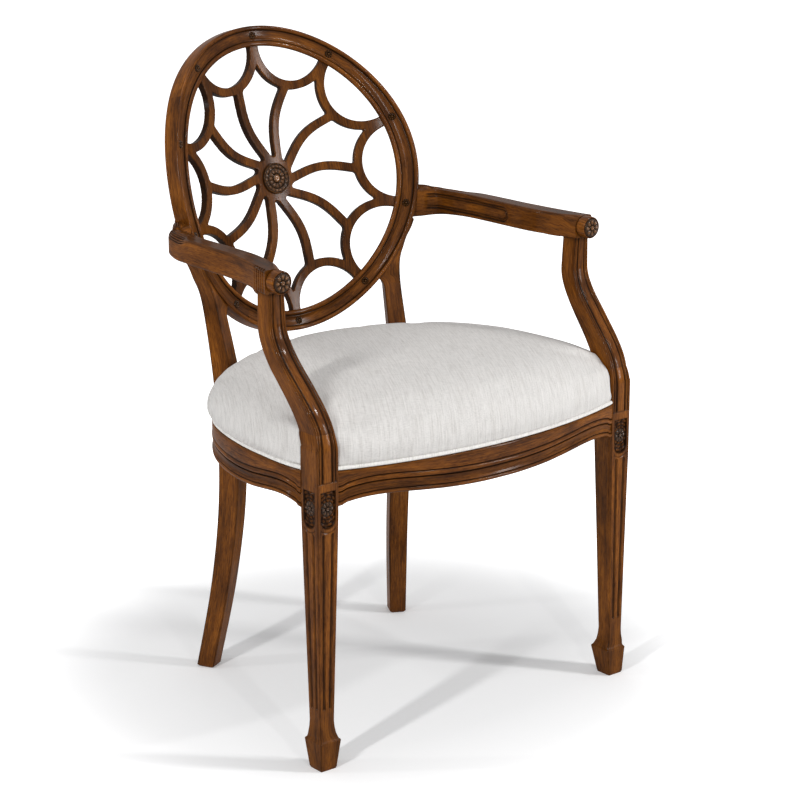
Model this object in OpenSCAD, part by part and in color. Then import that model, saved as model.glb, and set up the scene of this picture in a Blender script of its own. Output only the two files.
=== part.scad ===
// Armchair with a round pierced back, tapered front legs and an upholstered seat.
// Millimetres. The floor is z = 0, the front of the chair faces -y and x runs across it.

/* [Front legs] */
// Distance of each front leg's middle from the chair's middle
leg_x = 285.5; // [270:0.5:300]
// Distance of the front legs' middle in front of the origin
leg_y = 250; // [235:0.5:260]
// Width of the leg's upper block
block_w = 38; // [34:0.5:44]
// Depth of the leg's upper block
block_d = 40; // [36:0.5:46]
// Height of the upper block's top, where the arm post begins, above the seat rails
block_top = 56; // [38:1:78]
// Distance of the taper's start below the seat rails' top
taper_top = 82; // [72:1:112]
// Width of the leg at its ankle
ankle_w = 26; // [22:0.5:30]
// Height of the ankle, where the leg begins to flare to its spade foot
ankle_h = 75; // [65:1:90]
// Width of the spade foot at its top edge
spade_w = 37; // [33:0.5:40]
// Width of the spade foot on the floor
foot_w = 27; // [24:0.5:30]
// Height of the spade foot
spade_h = 43; // [35:1:50]
// Width of the sunk tablet on the block
tablet_w = 26; // [20:0.5:30]
// Distance of the tablet's square top edge below the seat rails' top
tablet_top = 24; // [20:0.5:32]
// Height of the tablet from its round end to its square top
tablet_h = 58; // [50:0.5:62]
// Depth that the tablet is sunk
tablet_depth = 3; // [1.5:0.5:4]
// Diameter of the rosette carved in each tablet
leg_rosette_d = 21; // [16:0.5:24]
// Radius of the flutes in the leg
flute_r = 2.6; // [1.5:0.1:3.2]
// Distance between the two flutes of a face at their top
flute_gap = 16.4; // [12:0.2:18]
// Distance between the two flutes at their lower end
flute_gap_low = 10.4; // [8:0.2:13]

/* [Seat frame] */
// Height of the seat rails' top edge
seat_h = 452; // [440:1:470]
// Height of the front and back rails at their middle
rail_h = 52; // [48:0.5:60]
// Height of the side rails at their middle
side_rail_h = 55; // [50:0.5:62]
// Rise of the serpentine lower edge beside each leg
rail_rise = 9; // [4:0.5:14]
// Thickness of the seat rails
rail_t = 24; // [20:0.5:28]
// Radius of the front rail's bow, seen from above
front_bow_r = 806; // [700:1:1000]
// Distance of the groove in the rails above their lower edge
mould_h = 20; // [16:0.5:24]
// Height of the groove in the rails
mould_w = 3; // [2:0.5:4]
// Depth of the groove in the rails
mould_depth = 1.5; // [1:0.25:2.5]
// Thickness of the seat board
board_t = 12; // [9:0.5:15]
// Height of the corner blocks
corner_h = 28; // [22:0.5:30]
// Length of a corner block's two glued sides
corner_side = 58; // [50:1:70]

/* [Rear legs] */
// Turn of the rear legs, seen from above, in degrees
rear_turn = 28; // [24:0.5:32]
// Width of the rear leg across its front face at the seat
rear_w = 32.5; // [30:0.5:36]
// Depth of the rear leg at the seat
rear_d = 34.5; // [31:0.5:38]
// Width of the rear leg at the floor
rear_foot_w = 27.5; // [25:0.5:32]
// Depth of the rear leg at the floor
rear_foot_d = 30; // [27:0.5:34]
// Width of the rear post where it leaves the seat
post_w = 26; // [23:0.5:30]
// Depth of the rear post where it leaves the seat
post_d = 26; // [23:0.5:30]
// Distance of the rear leg's outer face along its turned frame, at the seat
rear_out = 104; // [98:0.5:108]
// Distance of the rear leg's front face behind the origin along its turned frame, at the seat
rear_front = 181; // [170:0.5:190]
// Distance that the rear feet stand behind the seat's rear corners
rear_splay = 47; // [30:1:60]
// Chamfer round the rear foot
rear_chamfer = 3; // [1:0.5:5]

/* [Back] */
// Height of the middle of the round back above the seat rails
hub_h = 312; // [298:1:338]
// Distance of the middle of the round back behind the origin
hub_y = 233; // [225:1:245]
// Lean of the back from upright, in degrees
back_lean = 14.6; // [10:0.1:18]
// Radius of the hollow of the back, seen from above
hollow_r = 387; // [350:1:450]
// Half the height of the round frame
ring_r = 244.5; // [235:0.5:250]
// Half the width of the round frame
ring_half_w = 229.5; // [225:0.5:240]
// Width of the frame's moulded face
ring_w = 32.5; // [30:0.5:36]
// Thickness of the frame
ring_t = 24; // [21:0.5:28]
// Width of the bead along the frame's inner edge
inner_bead = 9; // [7:0.5:11]
// Width of the bead along the frame's outer edge
outer_bead = 7; // [5:0.5:9]
// Depth of the channel between the two beads
channel_depth = 4.5; // [2:0.5:6]
// Diameter of the small rosettes in the channel
ring_rosette_d = 12.5; // [9:0.5:14]
// Height of the small rosettes
ring_rosette_h = 5; // [3:0.5:7]
// Thickness of the pierced web
web_t = 12; // [10:0.5:16]
// Distance of the web's front face behind the frame's front face
web_in = 5; // [3:0.5:7]
// Depth of the rebate that holds the web in the frame
web_rebate = 4; // [3:0.5:6]
// Number of spokes, scallops and small rosettes
spokes = 10; // [8:1:12]
// Width of a spoke
spoke_w = 14; // [10:0.5:16]
// Sideways sway of a spoke along its length
spoke_sway = 9; // [5:0.5:12]
// Radius of the web's hub
hub_r = 35; // [31:0.5:40]
// Radius of a scallop's opening
scallop_r = 60; // [54:0.5:64]
// Width of the band that edges a scallop
scallop_band = 14; // [11:0.5:15]
// Distance of a scallop's middle from the hub's middle
scallop_reach = 222; // [215:0.5:230]
// Radius of the carved medallion
medallion_r = 25; // [20:0.5:28]
// Height of the medallion above the web
medallion_h = 8; // [5:0.5:12]

/* [Arms] */
// Height of the arms' top above the seat rails
arm_h = 278; // [263:1:293]
// Height of an arm's side at its middle
arm_drop = 36; // [32:0.5:40]
// Height of an arm's side where it meets the back
arm_rear_drop = 49; // [44:0.5:54]
// Width of an arm at its middle
arm_w = 30; // [27:0.5:34]
// Diameter of the round knuckle at the arm's front
knuckle_d = 34; // [31:0.5:37]
// Distance of the knuckle's middle from the chair's middle
knuckle_x = 296.5; // [290:0.5:305]
// Distance of the knuckle's face in front of the arm post
knuckle_reach = 18; // [12:0.5:26]
// Distance that the arm posts step back from the seat to the arm
post_step = 101; // [80:1:115]
// Depth of an arm post below the arm
post_top_d = 29; // [26:0.5:34]
// Width of an arm post below the arm
post_top_w = 26.5; // [24:0.5:30]
// Depth of the grooves along an arm post's front
post_groove = 2; // [1:0.5:3]
// Diameter of the rosette on the knuckle
arm_rosette_d = 28; // [22:0.5:30]

/* [Cushion] */
// Height of the cushion's crown above the rails
crown_h = 87; // [60:1:95]
// Bulge of the cushion's side beyond the rails
side_bulge = 6.5; // [3:0.5:12]
// Fall of the cushion's crown towards its rear edge
rear_fall = 8; // [0:0.5:15]
// Thickness of the welt
welt_d = 6; // [4:0.5:8]

/* [Joinery] */
// Clearance between two pieces that fit together
fit_gap = 0.1; // [0.05:0.05:0.2]
// Clearance round the upholstery
soft_gap = 0.3; // [0.3:0.1:0.6]
// Diameter of the rail and post dowels
dowel_d = 9; // [8:0.5:10]
// Diameter of the back frame's dowels
ring_dowel_d = 7; // [6:0.5:8]
// Depth of a dowel in each piece
dowel_in = 14; // [10:0.5:16]
// Thread diameter of the wood screws
screw_d = 4; // [3:0.5:5]

/* [Hidden] */
$fn = 64;

// Colours
wood = [0.45, 0.26, 0.12];
dark_wood = [0.36, 0.20, 0.09];
carved = [0.30, 0.18, 0.09];
pale_wood = [0.72, 0.56, 0.36];
linen = [0.90, 0.88, 0.85];
steel = [0.70, 0.68, 0.62];
black_cloth = [0.08, 0.08, 0.08];

// A smooth curve through the points p, with n steps from each to the next
function bend(a, b, c, d, t) =
    0.5 * (2 * b + (c - a) * t + (2 * a - 5 * b + 4 * c - d) * t * t + (3 * b - a - 3 * c + d) * t * t * t);
function curve(p, n = 5) = [
    for (i = [0 : len(p) - 2], j = [0 : n - 1])
        bend(p[max(i - 1, 0)], p[i], p[i + 1], p[min(i + 2, len(p) - 1)], j / n),
    p[len(p) - 1]];
function reversed(p) = [for (i = [len(p) - 1 : -1 : 0]) p[i]];
function flipped(p) = [for (i = [len(p) - 1 : -1 : 0]) [-p[i].x, p[i].y]];
function unit(v) = v / norm(v);
function left_of(v) = [-v.y, v.x];
function slope(p, i) = unit(p[min(i + 1, len(p) - 1)] - p[max(i - 1, 0)]);
// The points of the open line p moved d to its left
function beside(p, d) = [for (i = [0 : len(p) - 1]) p[i] + d * left_of(slope(p, i))];
function ease(t) = let (s = max(0, min(1, t))) s * s * (3 - 2 * s);

// Heights that follow the seat
block_z = seat_h + block_top;
taper_z = seat_h - taper_top;
tablet_z = seat_h - tablet_top;
hub_z = seat_h + hub_h;
arm_z = seat_h + arm_h;

// Places on the seat
block_in = leg_x - block_w / 2;
block_out = leg_x + block_w / 2;
block_front = -leg_y - block_d / 2;
block_back = -leg_y + block_d / 2;
bow_y = block_front + sqrt(front_bow_r * front_bow_r - block_in * block_in);
rear_back = rear_front + rear_d;
rear_in = rear_out - rear_w;
rail_low = seat_h - rail_h;

// The rear legs' turned frame: u runs along a leg's front face, v runs to its back
function to_turned(p) = [
    p.x * cos(rear_turn) - p.y * sin(rear_turn),
    p.x * sin(rear_turn) + p.y * cos(rear_turn), p.z];
function from_turned(u, v) = [
    u * cos(rear_turn) + v * sin(rear_turn),
    v * cos(rear_turn) - u * sin(rear_turn)];

// Outline of the seat, seen from above: a bowed front, swelling sides and a round rear
rail_inset = 14;
foot_in = 3.5;
spade_lip = 3;
side_proud = 1.5;
side_tuck = 2;
corner_step = 12;
// How far a cutting shape runs past what it cuts
overrun = 60;
side_front = [block_out + side_proud, block_back - side_tuck];
side_rear = from_turned(rear_out, rear_back - rail_inset);
side_shape = [[1, 0], [1.03, 0.06], [1.04, 0.14], [1.03, 0.24], [1.01, 0.34], [0.96, 0.46], [0.875, 0.585],
    [0.74, 0.715], [0.53, 0.83], [0.28, 0.92], [0, 1]];
side_line = curve([for (s = side_shape)
    [side_rear.x + (side_front.x - side_rear.x) * s.x, side_front.y + (side_rear.y - side_front.y) * s.y]], 4);
function bow_at(x) = bow_y - sqrt(front_bow_r * front_bow_r - x * x);
back_start = from_turned(rear_in, rear_back - rail_inset);
back_r = back_start.x / sin(rear_turn);
back_middle = back_start.y - back_r * cos(rear_turn);
function back_rail_at(a) = [back_r * sin(a), back_middle + back_r * cos(a)];

// Places on the round back: x across, w up the lean from the hub's middle, d behind its hollow face
squash = ring_half_w / ring_r;
ring_in = ring_r - ring_w;
channel_in = ring_in + inner_bead;
channel_out = ring_r - outer_bead;
channel_mid = (channel_in + channel_out) / 2;
web_r = ring_in + web_rebate;
function deeper(d) = (hollow_r + d) / hollow_r;
function sag(x, d) = deeper(d) * sqrt(hollow_r * hollow_r - x * x) - hollow_r;
function on_hollow(x, w, d) = [deeper(d) * x, hub_y + sag(x, d) * cos(back_lean) + w * sin(back_lean),
    hub_z - sag(x, d) * sin(back_lean) + w * cos(back_lean)];
function ring_point(a, r, d) = on_hollow(squash * r * sin(a), r * cos(a), d);
function ring_angle(z) =
    acos((z - hub_z + sag(ring_half_w, 0) * sin(back_lean)) / cos(back_lean) / ring_r);
function oval(r, middle = [0, 0], n = 72) =
    [for (i = [0 : n - 1]) [squash * (middle.x + r * sin(360 * i / n)), middle.y + r * cos(360 * i / n)]];
seam_high = 54;
seam_low = 152;
seams = [seam_high, seam_low, 360 - seam_low, 360 - seam_high];
seam_gap = atan(fit_gap / 2 / ring_r);
bead_pitch = 360 / spokes;

// Places on the arms
arm_under = arm_z - arm_drop;
arm_end = ring_point(ring_angle(arm_z), ring_r, 0);
arm_tail = ring_point(ring_angle(arm_z), ring_r, ring_t);
post_foot_front = block_front + 4;
post_top_front = post_foot_front + post_step;
post_top_back = post_top_front + post_top_d;
knuckle_face = post_top_front - knuckle_reach;
knuckle_z = arm_z - knuckle_d / 2 - 1;
post_x = knuckle_x - 3;

// Modules that place and cut

module mirrored() {
    children();
    mirror([1, 0, 0]) children();
}

// A side view, drawn as [y, z], made as thick as from x = from to x = to
module side_view(from, to) translate([from, 0, 0]) rotate([90, 0, 90]) linear_extrude(to - from) children();

// A front view, drawn as [x, z], made as thick as from y = from to y = to
module front_view(from, to) translate([0, to, 0]) rotate([90, 0, 0]) linear_extrude(to - from) children();

// A plan, drawn as [x, y], made as thick as from z = from to z = to
module plan(from, to) translate([0, 0, from]) linear_extrude(to - from) children();

// A round rod from a to b, longer by extra at each end
module rod(a, b, d, extra = 0) {
    v = b - a;
    translate(a) rotate([0, acos(v.z / norm(v)), atan2(v.y, v.x)])
        translate([0, 0, -extra]) cylinder(d = d, h = norm(v) + 2 * extra);
}

// A rod along v with its middle at p: the dowel itself, or with cut = true its bore
module pin(p, v, d, cut) rod(p - v, p + v, d + (cut ? 2 * fit_gap : 0), cut ? 1 : 0);

module on_back() translate([0, hub_y, hub_z]) rotate([-back_lean, 0, 0]) children();

// Between two distances behind the hollow face of the back
module shell(from, to) translate([0, -hollow_r, 0]) difference() {
    cylinder(r = hollow_r + to, h = 3 * ring_r, center = true, $fn = 180);
    cylinder(r = hollow_r + from, h = 4 * ring_r, center = true, $fn = 180);
}

// The outline p, drawn as [x, w] on the curved face that lies face behind the hollow one,
// moved out to a flat plane behind the back along lines through the middle of the curve
fan_near = sag(ring_half_w, 0) - 6;
fan_far = ring_t + 8;
function fanned(p, face) = [for (q = p)
    [q.x * (hollow_r + fan_far) / sqrt((hollow_r + face) * (hollow_r + face) - q.x * q.x), q.y]];

// Sides cut square to the curved face, from an outline that is fanned out
module fan() translate([0, fan_far, 0]) rotate([90, 0, 0])
    linear_extrude(fan_far - fan_near, scale = [(hollow_r + fan_near) / (hollow_r + fan_far), 1], slices = 1)
        children();

// A solid oval of radius r, drawn on the face at face
module oval_plug(r, face = 0) fan() polygon(fanned(oval(r), face));

module wedge(from, to) polygon([[0, 0],
    for (i = [0 : 6]) let (a = from + (to - from) * i / 6) 2 * ring_r * [squash * sin(a), cos(a)]]);

// Dowels; each list of places is used for the dowels and for their bores
rail_dowel_z = [rail_low + 15, rail_low + 37];

module front_rail_dowels(cut = false) mirrored() for (z = rail_dowel_z)
    pin([block_in, block_front + rail_t / 2, z], [dowel_in, 0, 0], dowel_d, cut);

module side_rail_dowels(cut = false) mirrored() for (z = rail_dowel_z) {
    pin([block_out - rail_t / 2 + 1.5, block_back, z], [0, dowel_in, 0], dowel_d, cut);
    rotate([0, 0, -rear_turn])
        pin([rear_out, rear_back - rail_inset - rail_t / 2 + 1, z], [dowel_in, 0, 0], dowel_d, cut);
}

module back_rail_dowels(cut = false) mirrored() for (z = rail_dowel_z) rotate([0, 0, -rear_turn])
    pin([rear_in, rear_back - rail_inset - rail_t / 2 - 1, z], [dowel_in, 0, 0], dowel_d, cut);

module seam_dowels(cut = false) {
    for (a = seams, r = [ring_in + 10.5, ring_r - 9.5]) {
        d = (channel_depth + ring_t) / 2;
        p = ring_point(a, r, d);
        v = unit(ring_point(a + 1, r, d) - p) * dowel_in;
        pin(p, v, ring_dowel_d, cut);
    }
}

// Where the rear post runs beside the frame
wrap_top = arm_z - arm_rear_drop + 21;
wrap_low = ring_angle(wrap_top - 50);
// A dowel square through the frame's outer edge at the angle a
module edge_pins(a, reach, cut) mirrored() {
    p = ring_point(a, ring_r, ring_t / 2 + 1);
    v = unit(ring_point(a, ring_r + 1, ring_t / 2 + 1) - p);
    pin(p, reach * v, ring_dowel_d, cut);
}
module rear_post_dowels(cut = false) edge_pins(wrap_low + 12, dowel_in, cut);
module arm_end_dowels(cut = false) edge_pins(ring_angle(arm_z - arm_rear_drop / 2), dowel_in - 3, cut);

module arm_top_dowels(cut = false) mirrored()
    pin([post_x, (post_top_front + post_top_back) / 2, arm_under], [0, 0, dowel_in], dowel_d, cut);

module block_dowels(cut = false) mirrored()
    pin([leg_x, -leg_y + block_d / 4, block_z], [0, 0, dowel_in + 3], dowel_d, cut);

// Front legs

// Outline of the leg's side: its near face stands at 0 on the block, its far face at size
module leg_outline(size, lip) polygon([
    [foot_in - lip, 0], [-lip, spade_h], [2 - lip, spade_h + 3], [3, ankle_h], [0, taper_z], [0, block_z],
    [size, block_z], [size, taper_z + 20], [3 + ankle_w, ankle_h], [spade_w - 2, spade_h + 3],
    [spade_w, spade_h], [foot_in - lip + foot_w, 0]]);

// A tablet with a square top and a round lower end, its middle on x = 0
module tablet() {
    round_z = tablet_z - tablet_h + tablet_w / 2;
    translate([-tablet_w / 2, round_z]) square([tablet_w, tablet_z - round_z]);
    translate([0, round_z]) circle(d = tablet_w);
}

flute_top = tablet_z - tablet_h - 12;
flute_low = ankle_h + 20;
module front_leg() difference() {
    intersection() {
        front_view(block_front - 5, block_back + 5) translate([block_out, 0]) mirror([1, 0])
            leg_outline(block_w, 0.5);
        side_view(block_in - 5, block_out + 5) translate([block_front, 0])
            leg_outline(block_d, spade_lip);
    }
    front_view(block_front - 5, block_front + tablet_depth) translate([leg_x, 0]) tablet();
    side_view(block_out - tablet_depth, block_out + 5) translate([-leg_y, 0]) tablet();
    for (s = [-1, 1]) {
        rod([leg_x + s * flute_gap / 2, block_front - 1, flute_top],
            [leg_x + 2.5 + s * flute_gap_low / 2, block_front + 1.5, flute_low], 2 * flute_r);
        rod([block_out + 1, -leg_y + s * flute_gap / 2, flute_top],
            [block_out - 1.5, -leg_y - 3.5 + s * flute_gap_low / 2, flute_low], 2 * flute_r);
    }
    front_rail_dowels(true);
    side_rail_dowels(true);
    block_dowels(true);
}
module front_leg_right() color(wood) front_leg();
module front_leg_left() color(wood) mirror([1, 0, 0]) front_leg();

// Carved rosettes

// A domed flower, its flat back on z = 0
module rosette(d, h) {
    petals = 8;
    rotate_extrude() polygon([[0, 0], [0.32 * d, 0], [0.32 * d, 0.5 * h], [0.16 * d, 0.6 * h],
        [0.12 * d, 0.95 * h], [0, h]]);
    for (i = [0 : petals - 1]) rotate([0, 0, 360 * i / petals]) translate([0.34 * d, 0, 0]) {
        cylinder(d = 0.3 * d, h = 0.45 * h, $fn = 24);
        cylinder(d = 0.18 * d, h = 0.75 * h, $fn = 24);
    }
}

leg_rosette_z = tablet_z - tablet_h / 2;
module leg_rosettes() color(carved) mirrored() {
    translate([leg_x, block_front + tablet_depth - fit_gap, leg_rosette_z]) rotate([90, 0, 0])
        rosette(leg_rosette_d, tablet_depth);
    translate([block_out - tablet_depth + fit_gap, -leg_y, leg_rosette_z]) rotate([0, 90, 0])
        rosette(leg_rosette_d, tablet_depth);
}

module arm_rosettes() color(carved) mirrored()
    translate([knuckle_x, knuckle_face - fit_gap, knuckle_z]) rotate([90, 0, 0]) rosette(arm_rosette_d, 4);

module ring_rosettes() color(carved) on_back() for (i = [0 : spokes - 1]) {
    x = squash * channel_mid * sin(i * bead_pitch);
    turn = asin(x / (hollow_r + channel_depth));
    translate([0, -hollow_r, channel_mid * cos(i * bead_pitch)]) rotate([0, 0, -turn])
        translate([0, hollow_r + channel_depth - 2 * fit_gap, 0]) rotate([90, 0, 0])
            rosette(ring_rosette_d, ring_rosette_h);
}

// Arm posts

function post_front(z) = post_foot_front + post_step * ease((z - block_z + 13) / 155);
function post_back(z) = block_back + 4 + (post_top_back - block_back - 4) * ease((z - block_z + 18) / 157);
post_steps = 32;
function post_z(i) = block_z + (arm_under - block_z) * i / post_steps;
post_line_z = [block_z, block_z + 60, block_z + 92, arm_under];
post_in = [block_in + 1.5, block_in + 5, block_in + 7.5, post_x - post_top_w / 2];
post_out = [block_out - 1, block_out + 2.5, block_out + 3.5, post_x + post_top_w / 2];

module arm_post() difference() {
    intersection() {
        side_view(block_in - 10, block_out + 20) polygon([
            for (i = [0 : post_steps]) let (z = post_z(i)) [post_front(z), z],
            for (i = [post_steps : -1 : 0]) let (z = post_z(i)) [post_back(z), z]]);
        plan(block_z + fit_gap, arm_under - fit_gap) square(1000, center = true);
        front_view(block_front - 10, post_top_back + 20) polygon([
            each curve([for (i = [0 : 3]) [post_in[i], post_line_z[i]]], 6),
            each reversed(curve([for (i = [0 : 3]) [post_out[i], post_line_z[i]]], 6))]);
    }
    for (s = [-1, 1]) intersection() {
        side_view(block_in - 10, block_out + 20) polygon([
            for (i = [0 : post_steps]) let (z = post_z(i)) [post_front(z) + post_groove, z],
            for (i = [post_steps : -1 : 0]) let (z = post_z(i)) [post_front(z) - 20, z]]);
        front_view(block_front - 40, post_top_back + 20) polygon([
            [leg_x + s * 9 - 2, block_z - 1], [leg_x + s * 9 + 2, block_z - 1],
            [post_x + s * 7.5 + 2, arm_under + 1], [post_x + s * 7.5 - 2, arm_under + 1]]);
    }
    block_dowels(true);
    arm_top_dowels(true);
}
module arm_post_right() color(wood) arm_post();
module arm_post_left() color(wood) mirror([1, 0, 0]) arm_post();

// Arms

// Places along an arm: share of the way to the knuckle across, share of the way to the back, added half width
arm_shape = [[1, 0.055, 1], [0.84, 0.21, 1], [0.76, 0.31, 1], [0.72, 0.42, 0.5], [0.71, 0.53, 0.25],
    [0.7, 0.63, 0], [0.68, 0.74, -0.4], [0.62, 0.85, -0.5], [0.52, 0.955, -1]];
function arm_place(s, side) = [
    arm_end.x + (knuckle_x - arm_end.x) * s.x + side * (arm_w + (knuckle_d - arm_w) * s.z) / 2,
    knuckle_face + (arm_end.y - knuckle_face) * s.y];
arm_outer = curve([for (s = arm_shape) arm_place(s, 1), arm_tail + [20, -20, 0],
    arm_tail + [11, -6, 0], arm_tail + [3, 4, 0]], 4);
arm_inner = curve([for (s = arm_shape) arm_place(s, -1), arm_end + [4, -4, 0]], 4);
function flat(p) = [for (q = p) [q.x, q.y]];
arm_back_y = arm_tail.y + 14;
arm_front_y = arm_place(arm_shape[0], 0).y;
arm_reed_r = 1.6;
panel_depth = 2.5;
panel_drop = 7;
panel_front = knuckle_face + (arm_end.y - knuckle_face) * 0.5;

arm_top_line = curve([[arm_front_y + 40, arm_z], [0, arm_z + 0.5], [arm_back_y, arm_z + 1]], 8);
arm_low_line = curve([[arm_back_y, arm_z - arm_rear_drop], [arm_tail.y - 30, arm_under - 6],
    [arm_tail.y - 90, arm_under - 1], [post_top_back + 60, arm_under], [post_top_back + 16, arm_under - 1]], 5);
module arm_profile() polygon([[arm_front_y, arm_z - 1], each arm_top_line, each arm_low_line,
    [post_top_back + fit_gap, arm_under - 6], [post_top_back + fit_gap, arm_under], [arm_front_y, arm_under]]);

module arm() difference() {
    union() {
        intersection() {
            plan(arm_z - 80, arm_z + 10) polygon([each flat(arm_outer),
                [arm_tail.x - 5, arm_tail.y + 7], [arm_tail.x - 9, arm_tail.y + 4],
                [arm_end.x - 12, arm_end.y + 8], each reversed(flat(arm_inner))]);
            side_view(0, knuckle_x + 60) arm_profile();
        }
        translate([knuckle_x, knuckle_face, knuckle_z]) rotate([-90, 0, 0])
            cylinder(d = knuckle_d, h = arm_front_y - knuckle_face + 12);
        translate([post_x - post_top_w / 2, post_top_front, arm_under])
            cube([post_top_w, post_top_d, knuckle_d / 2]);
    }
    on_back() intersection() {
        oval_plug(ring_r + fit_gap);
        shell(-2 * ring_t, ring_t + fit_gap);
    }
    for (i = [0 : 4]) translate([arm_place(arm_shape[0], 1).x + 0.6 - 1.55 * i, arm_front_y + 4 + 4.2 * i, 0])
        cylinder(r = arm_reed_r, h = 2 * arm_z);
    intersection() {
        plan(arm_z - 80, arm_z + 10) polygon([each flat(arm_inner),
            each reversed(flat(beside(arm_inner, -panel_depth))), arm_place(arm_shape[0], -1) - [-5, 20]]);
        side_view(0, knuckle_x + 60) {
            translate([panel_front, arm_under + panel_drop]) square([400, arm_drop - 2 * panel_drop]);
            translate([panel_front, arm_under + arm_drop / 2]) circle(d = arm_drop - 2 * panel_drop);
        }
    }
    arm_top_dowels(true);
    arm_end_dowels(true);
}
module arm_right() color(wood) arm();
module arm_left() color(wood) mirror([1, 0, 0]) arm();

// Rear legs

// The frame's outer edge at the height z, in the turned frame
function beside_ring(z) = to_turned(ring_point(ring_angle(z), ring_r, 0));
post_high = beside_ring(wrap_top);
post_near = beside_ring(wrap_top - 25);
post_mid = beside_ring(wrap_top - 50);
foot_out = rear_out + 1;
foot_front = rear_front + rear_splay;
leg_cut = arm_z - arm_rear_drop + 2;
// A leg's side line from its chamfered foot up through the points p; turn is 1 or -1 for the chamfer's side
function leg_line(foot, turn, p) = [[foot - turn * rear_chamfer, 0],
    each curve([[foot, rear_chamfer], each p], 6)];
rear_outer_line = leg_line(foot_out, 1, [[rear_out - 2, 150], [rear_out - 1.5, 300], [rear_out, seat_h],
    [post_mid.x - 6, post_mid.z - 50], [post_mid.x + 4, post_mid.z], [post_near.x + 4, post_near.z],
    [post_high.x + 4, post_high.z]]);
cope_x = post_mid.x - post_w;
rear_inner_line = leg_line(foot_out - rear_foot_w, -1, [[rear_in - 1, 150], [rear_in - 1.5, 300],
    [rear_in, seat_h], [cope_x - 6, post_mid.z - 84], [cope_x - 8, post_mid.z - 66],
    [cope_x - 14, post_mid.z - 57], [cope_x - 24, post_mid.z - 53], [cope_x - 45, post_mid.z - 50]]);
rear_front_line = leg_line(foot_front, -1, [[rear_front + rear_splay * 0.37, 150], [rear_front - 2, 300],
    [rear_front, seat_h], [post_mid.y - 8, post_mid.z - 50], [post_mid.y + 4, post_mid.z],
    [post_high.y + 2, post_high.z]]);
rear_back_line = leg_line(foot_front + rear_foot_d, 1, [[rear_back + rear_splay * 0.3, 150],
    [rear_back - 2, 300], [rear_back, seat_h], [post_mid.y - 8 + post_d, post_mid.z - 50],
    [post_mid.y + 4 + post_d, post_mid.z], [post_high.y + 2 + post_d, post_high.z]]);

module rear_leg() difference() {
    rotate([0, 0, -rear_turn]) intersection() {
        front_view(0, 400) polygon([each rear_outer_line, [post_high.x - 60, post_high.z],
            each reversed(rear_inner_line)]);
        side_view(-100, 300) polygon([each rear_front_line, each reversed(rear_back_line)]);
    }
    on_back() oval_plug(ring_r + fit_gap);
    translate([0, 0, leg_cut - fit_gap]) linear_extrude(200) square(800, center = true);
    side_rail_dowels(true);
    back_rail_dowels(true);
    rear_post_dowels(true);
}
module rear_leg_right() color(wood) rear_leg();
module rear_leg_left() color(wood) mirror([1, 0, 0]) rear_leg();

// Round back

module ring_part(from, to) difference() {
    on_back() difference() {
        intersection() {
            oval_plug(ring_r);
            shell(0, ring_t);
            front_view(-ring_r, ring_r) wedge(from + seam_gap, to - seam_gap);
        }
        oval_plug(ring_in);
        difference() {
            intersection() {
                oval_plug(channel_out);
                shell(-ring_t, channel_depth);
            }
            oval_plug(channel_in);
        }
        intersection() {
            oval_plug(web_r + fit_gap, web_in);
            shell(web_in - fit_gap, 2 * ring_t);
        }
    }
    seam_dowels(true);
    rear_post_dowels(true);
    arm_end_dowels(true);
}
module crest_rail() color(wood) ring_part(-seam_high, seam_high);
module back_ring_right() color(wood) ring_part(seam_high, seam_low);
module back_ring_left() color(wood) ring_part(-seam_low, -seam_high);
module lower_back_rail() color(wood) ring_part(seam_low, 360 - seam_low);

// Middle of a spoke beside its straight line at radius r
sway_from = hub_r + 12;
sway_to = scallop_reach - scallop_r - scallop_band - 6;
function sway(r) = -spoke_sway * sin(180 * (r - sway_from) / (sway_to - sway_from));
spoke_line = [for (i = [0 : 12]) let (r = hub_r - 6 + (sway_to - hub_r + 14) * i / 12) [sway(r), r]];
function turned(p, a) = [for (q = p) [squash * (q.x * cos(a) + q.y * sin(a)), q.y * cos(a) - q.x * sin(a)]];
function spoke(a) = turned([each beside(spoke_line, spoke_w / 2),
    each reversed(beside(spoke_line, -spoke_w / 2))], a);

module on_web(p) polygon(fanned(p, web_in));
module web_outline() difference() {
    on_web(oval(web_r));
    for (i = [0 : spokes - 1]) {
        a = (i + 0.5) * bead_pitch;
        on_web(oval(scallop_r, scallop_reach * [sin(a), cos(a)], 60));
    }
    difference() {
        on_web(oval(scallop_reach - scallop_r + 30));
        on_web(oval(hub_r, n = 48));
        for (i = [0 : spokes - 1]) {
            a = (i + 0.5) * bead_pitch;
            on_web(oval(scallop_r + scallop_band, scallop_reach * [sin(a), cos(a)], 60));
            on_web(spoke(a));
        }
    }
}
module web_splat() color(wood) on_back() intersection() {
    fan() web_outline();
    shell(web_in, web_in + web_t);
}

module hub_medallion() color(carved) on_back() intersection() {
    rotate([90, 0, 0]) union() {
        rotate_extrude() polygon([[0, -web_in - 2], [medallion_r, -web_in - 2],
            [medallion_r, medallion_h - web_in - 3], [medallion_r - 2, medallion_h - web_in - 1],
            [medallion_r - 4, medallion_h - web_in - 3], [9, medallion_h - web_in - 3.5],
            [7, medallion_h - web_in - 0.5], [0, medallion_h - web_in]]);
        for (i = [0 : 11]) rotate([0, 0, 30 * i]) translate([0.58 * medallion_r, 0, -web_in])
            cylinder(d = 6.5, h = medallion_h - 1.2, $fn = 24);
    }
    translate([0, -hollow_r, 0])
        cylinder(r = hollow_r + web_in - fit_gap, h = 4 * medallion_r, center = true, $fn = 180);
}

// Seat rails

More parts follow.
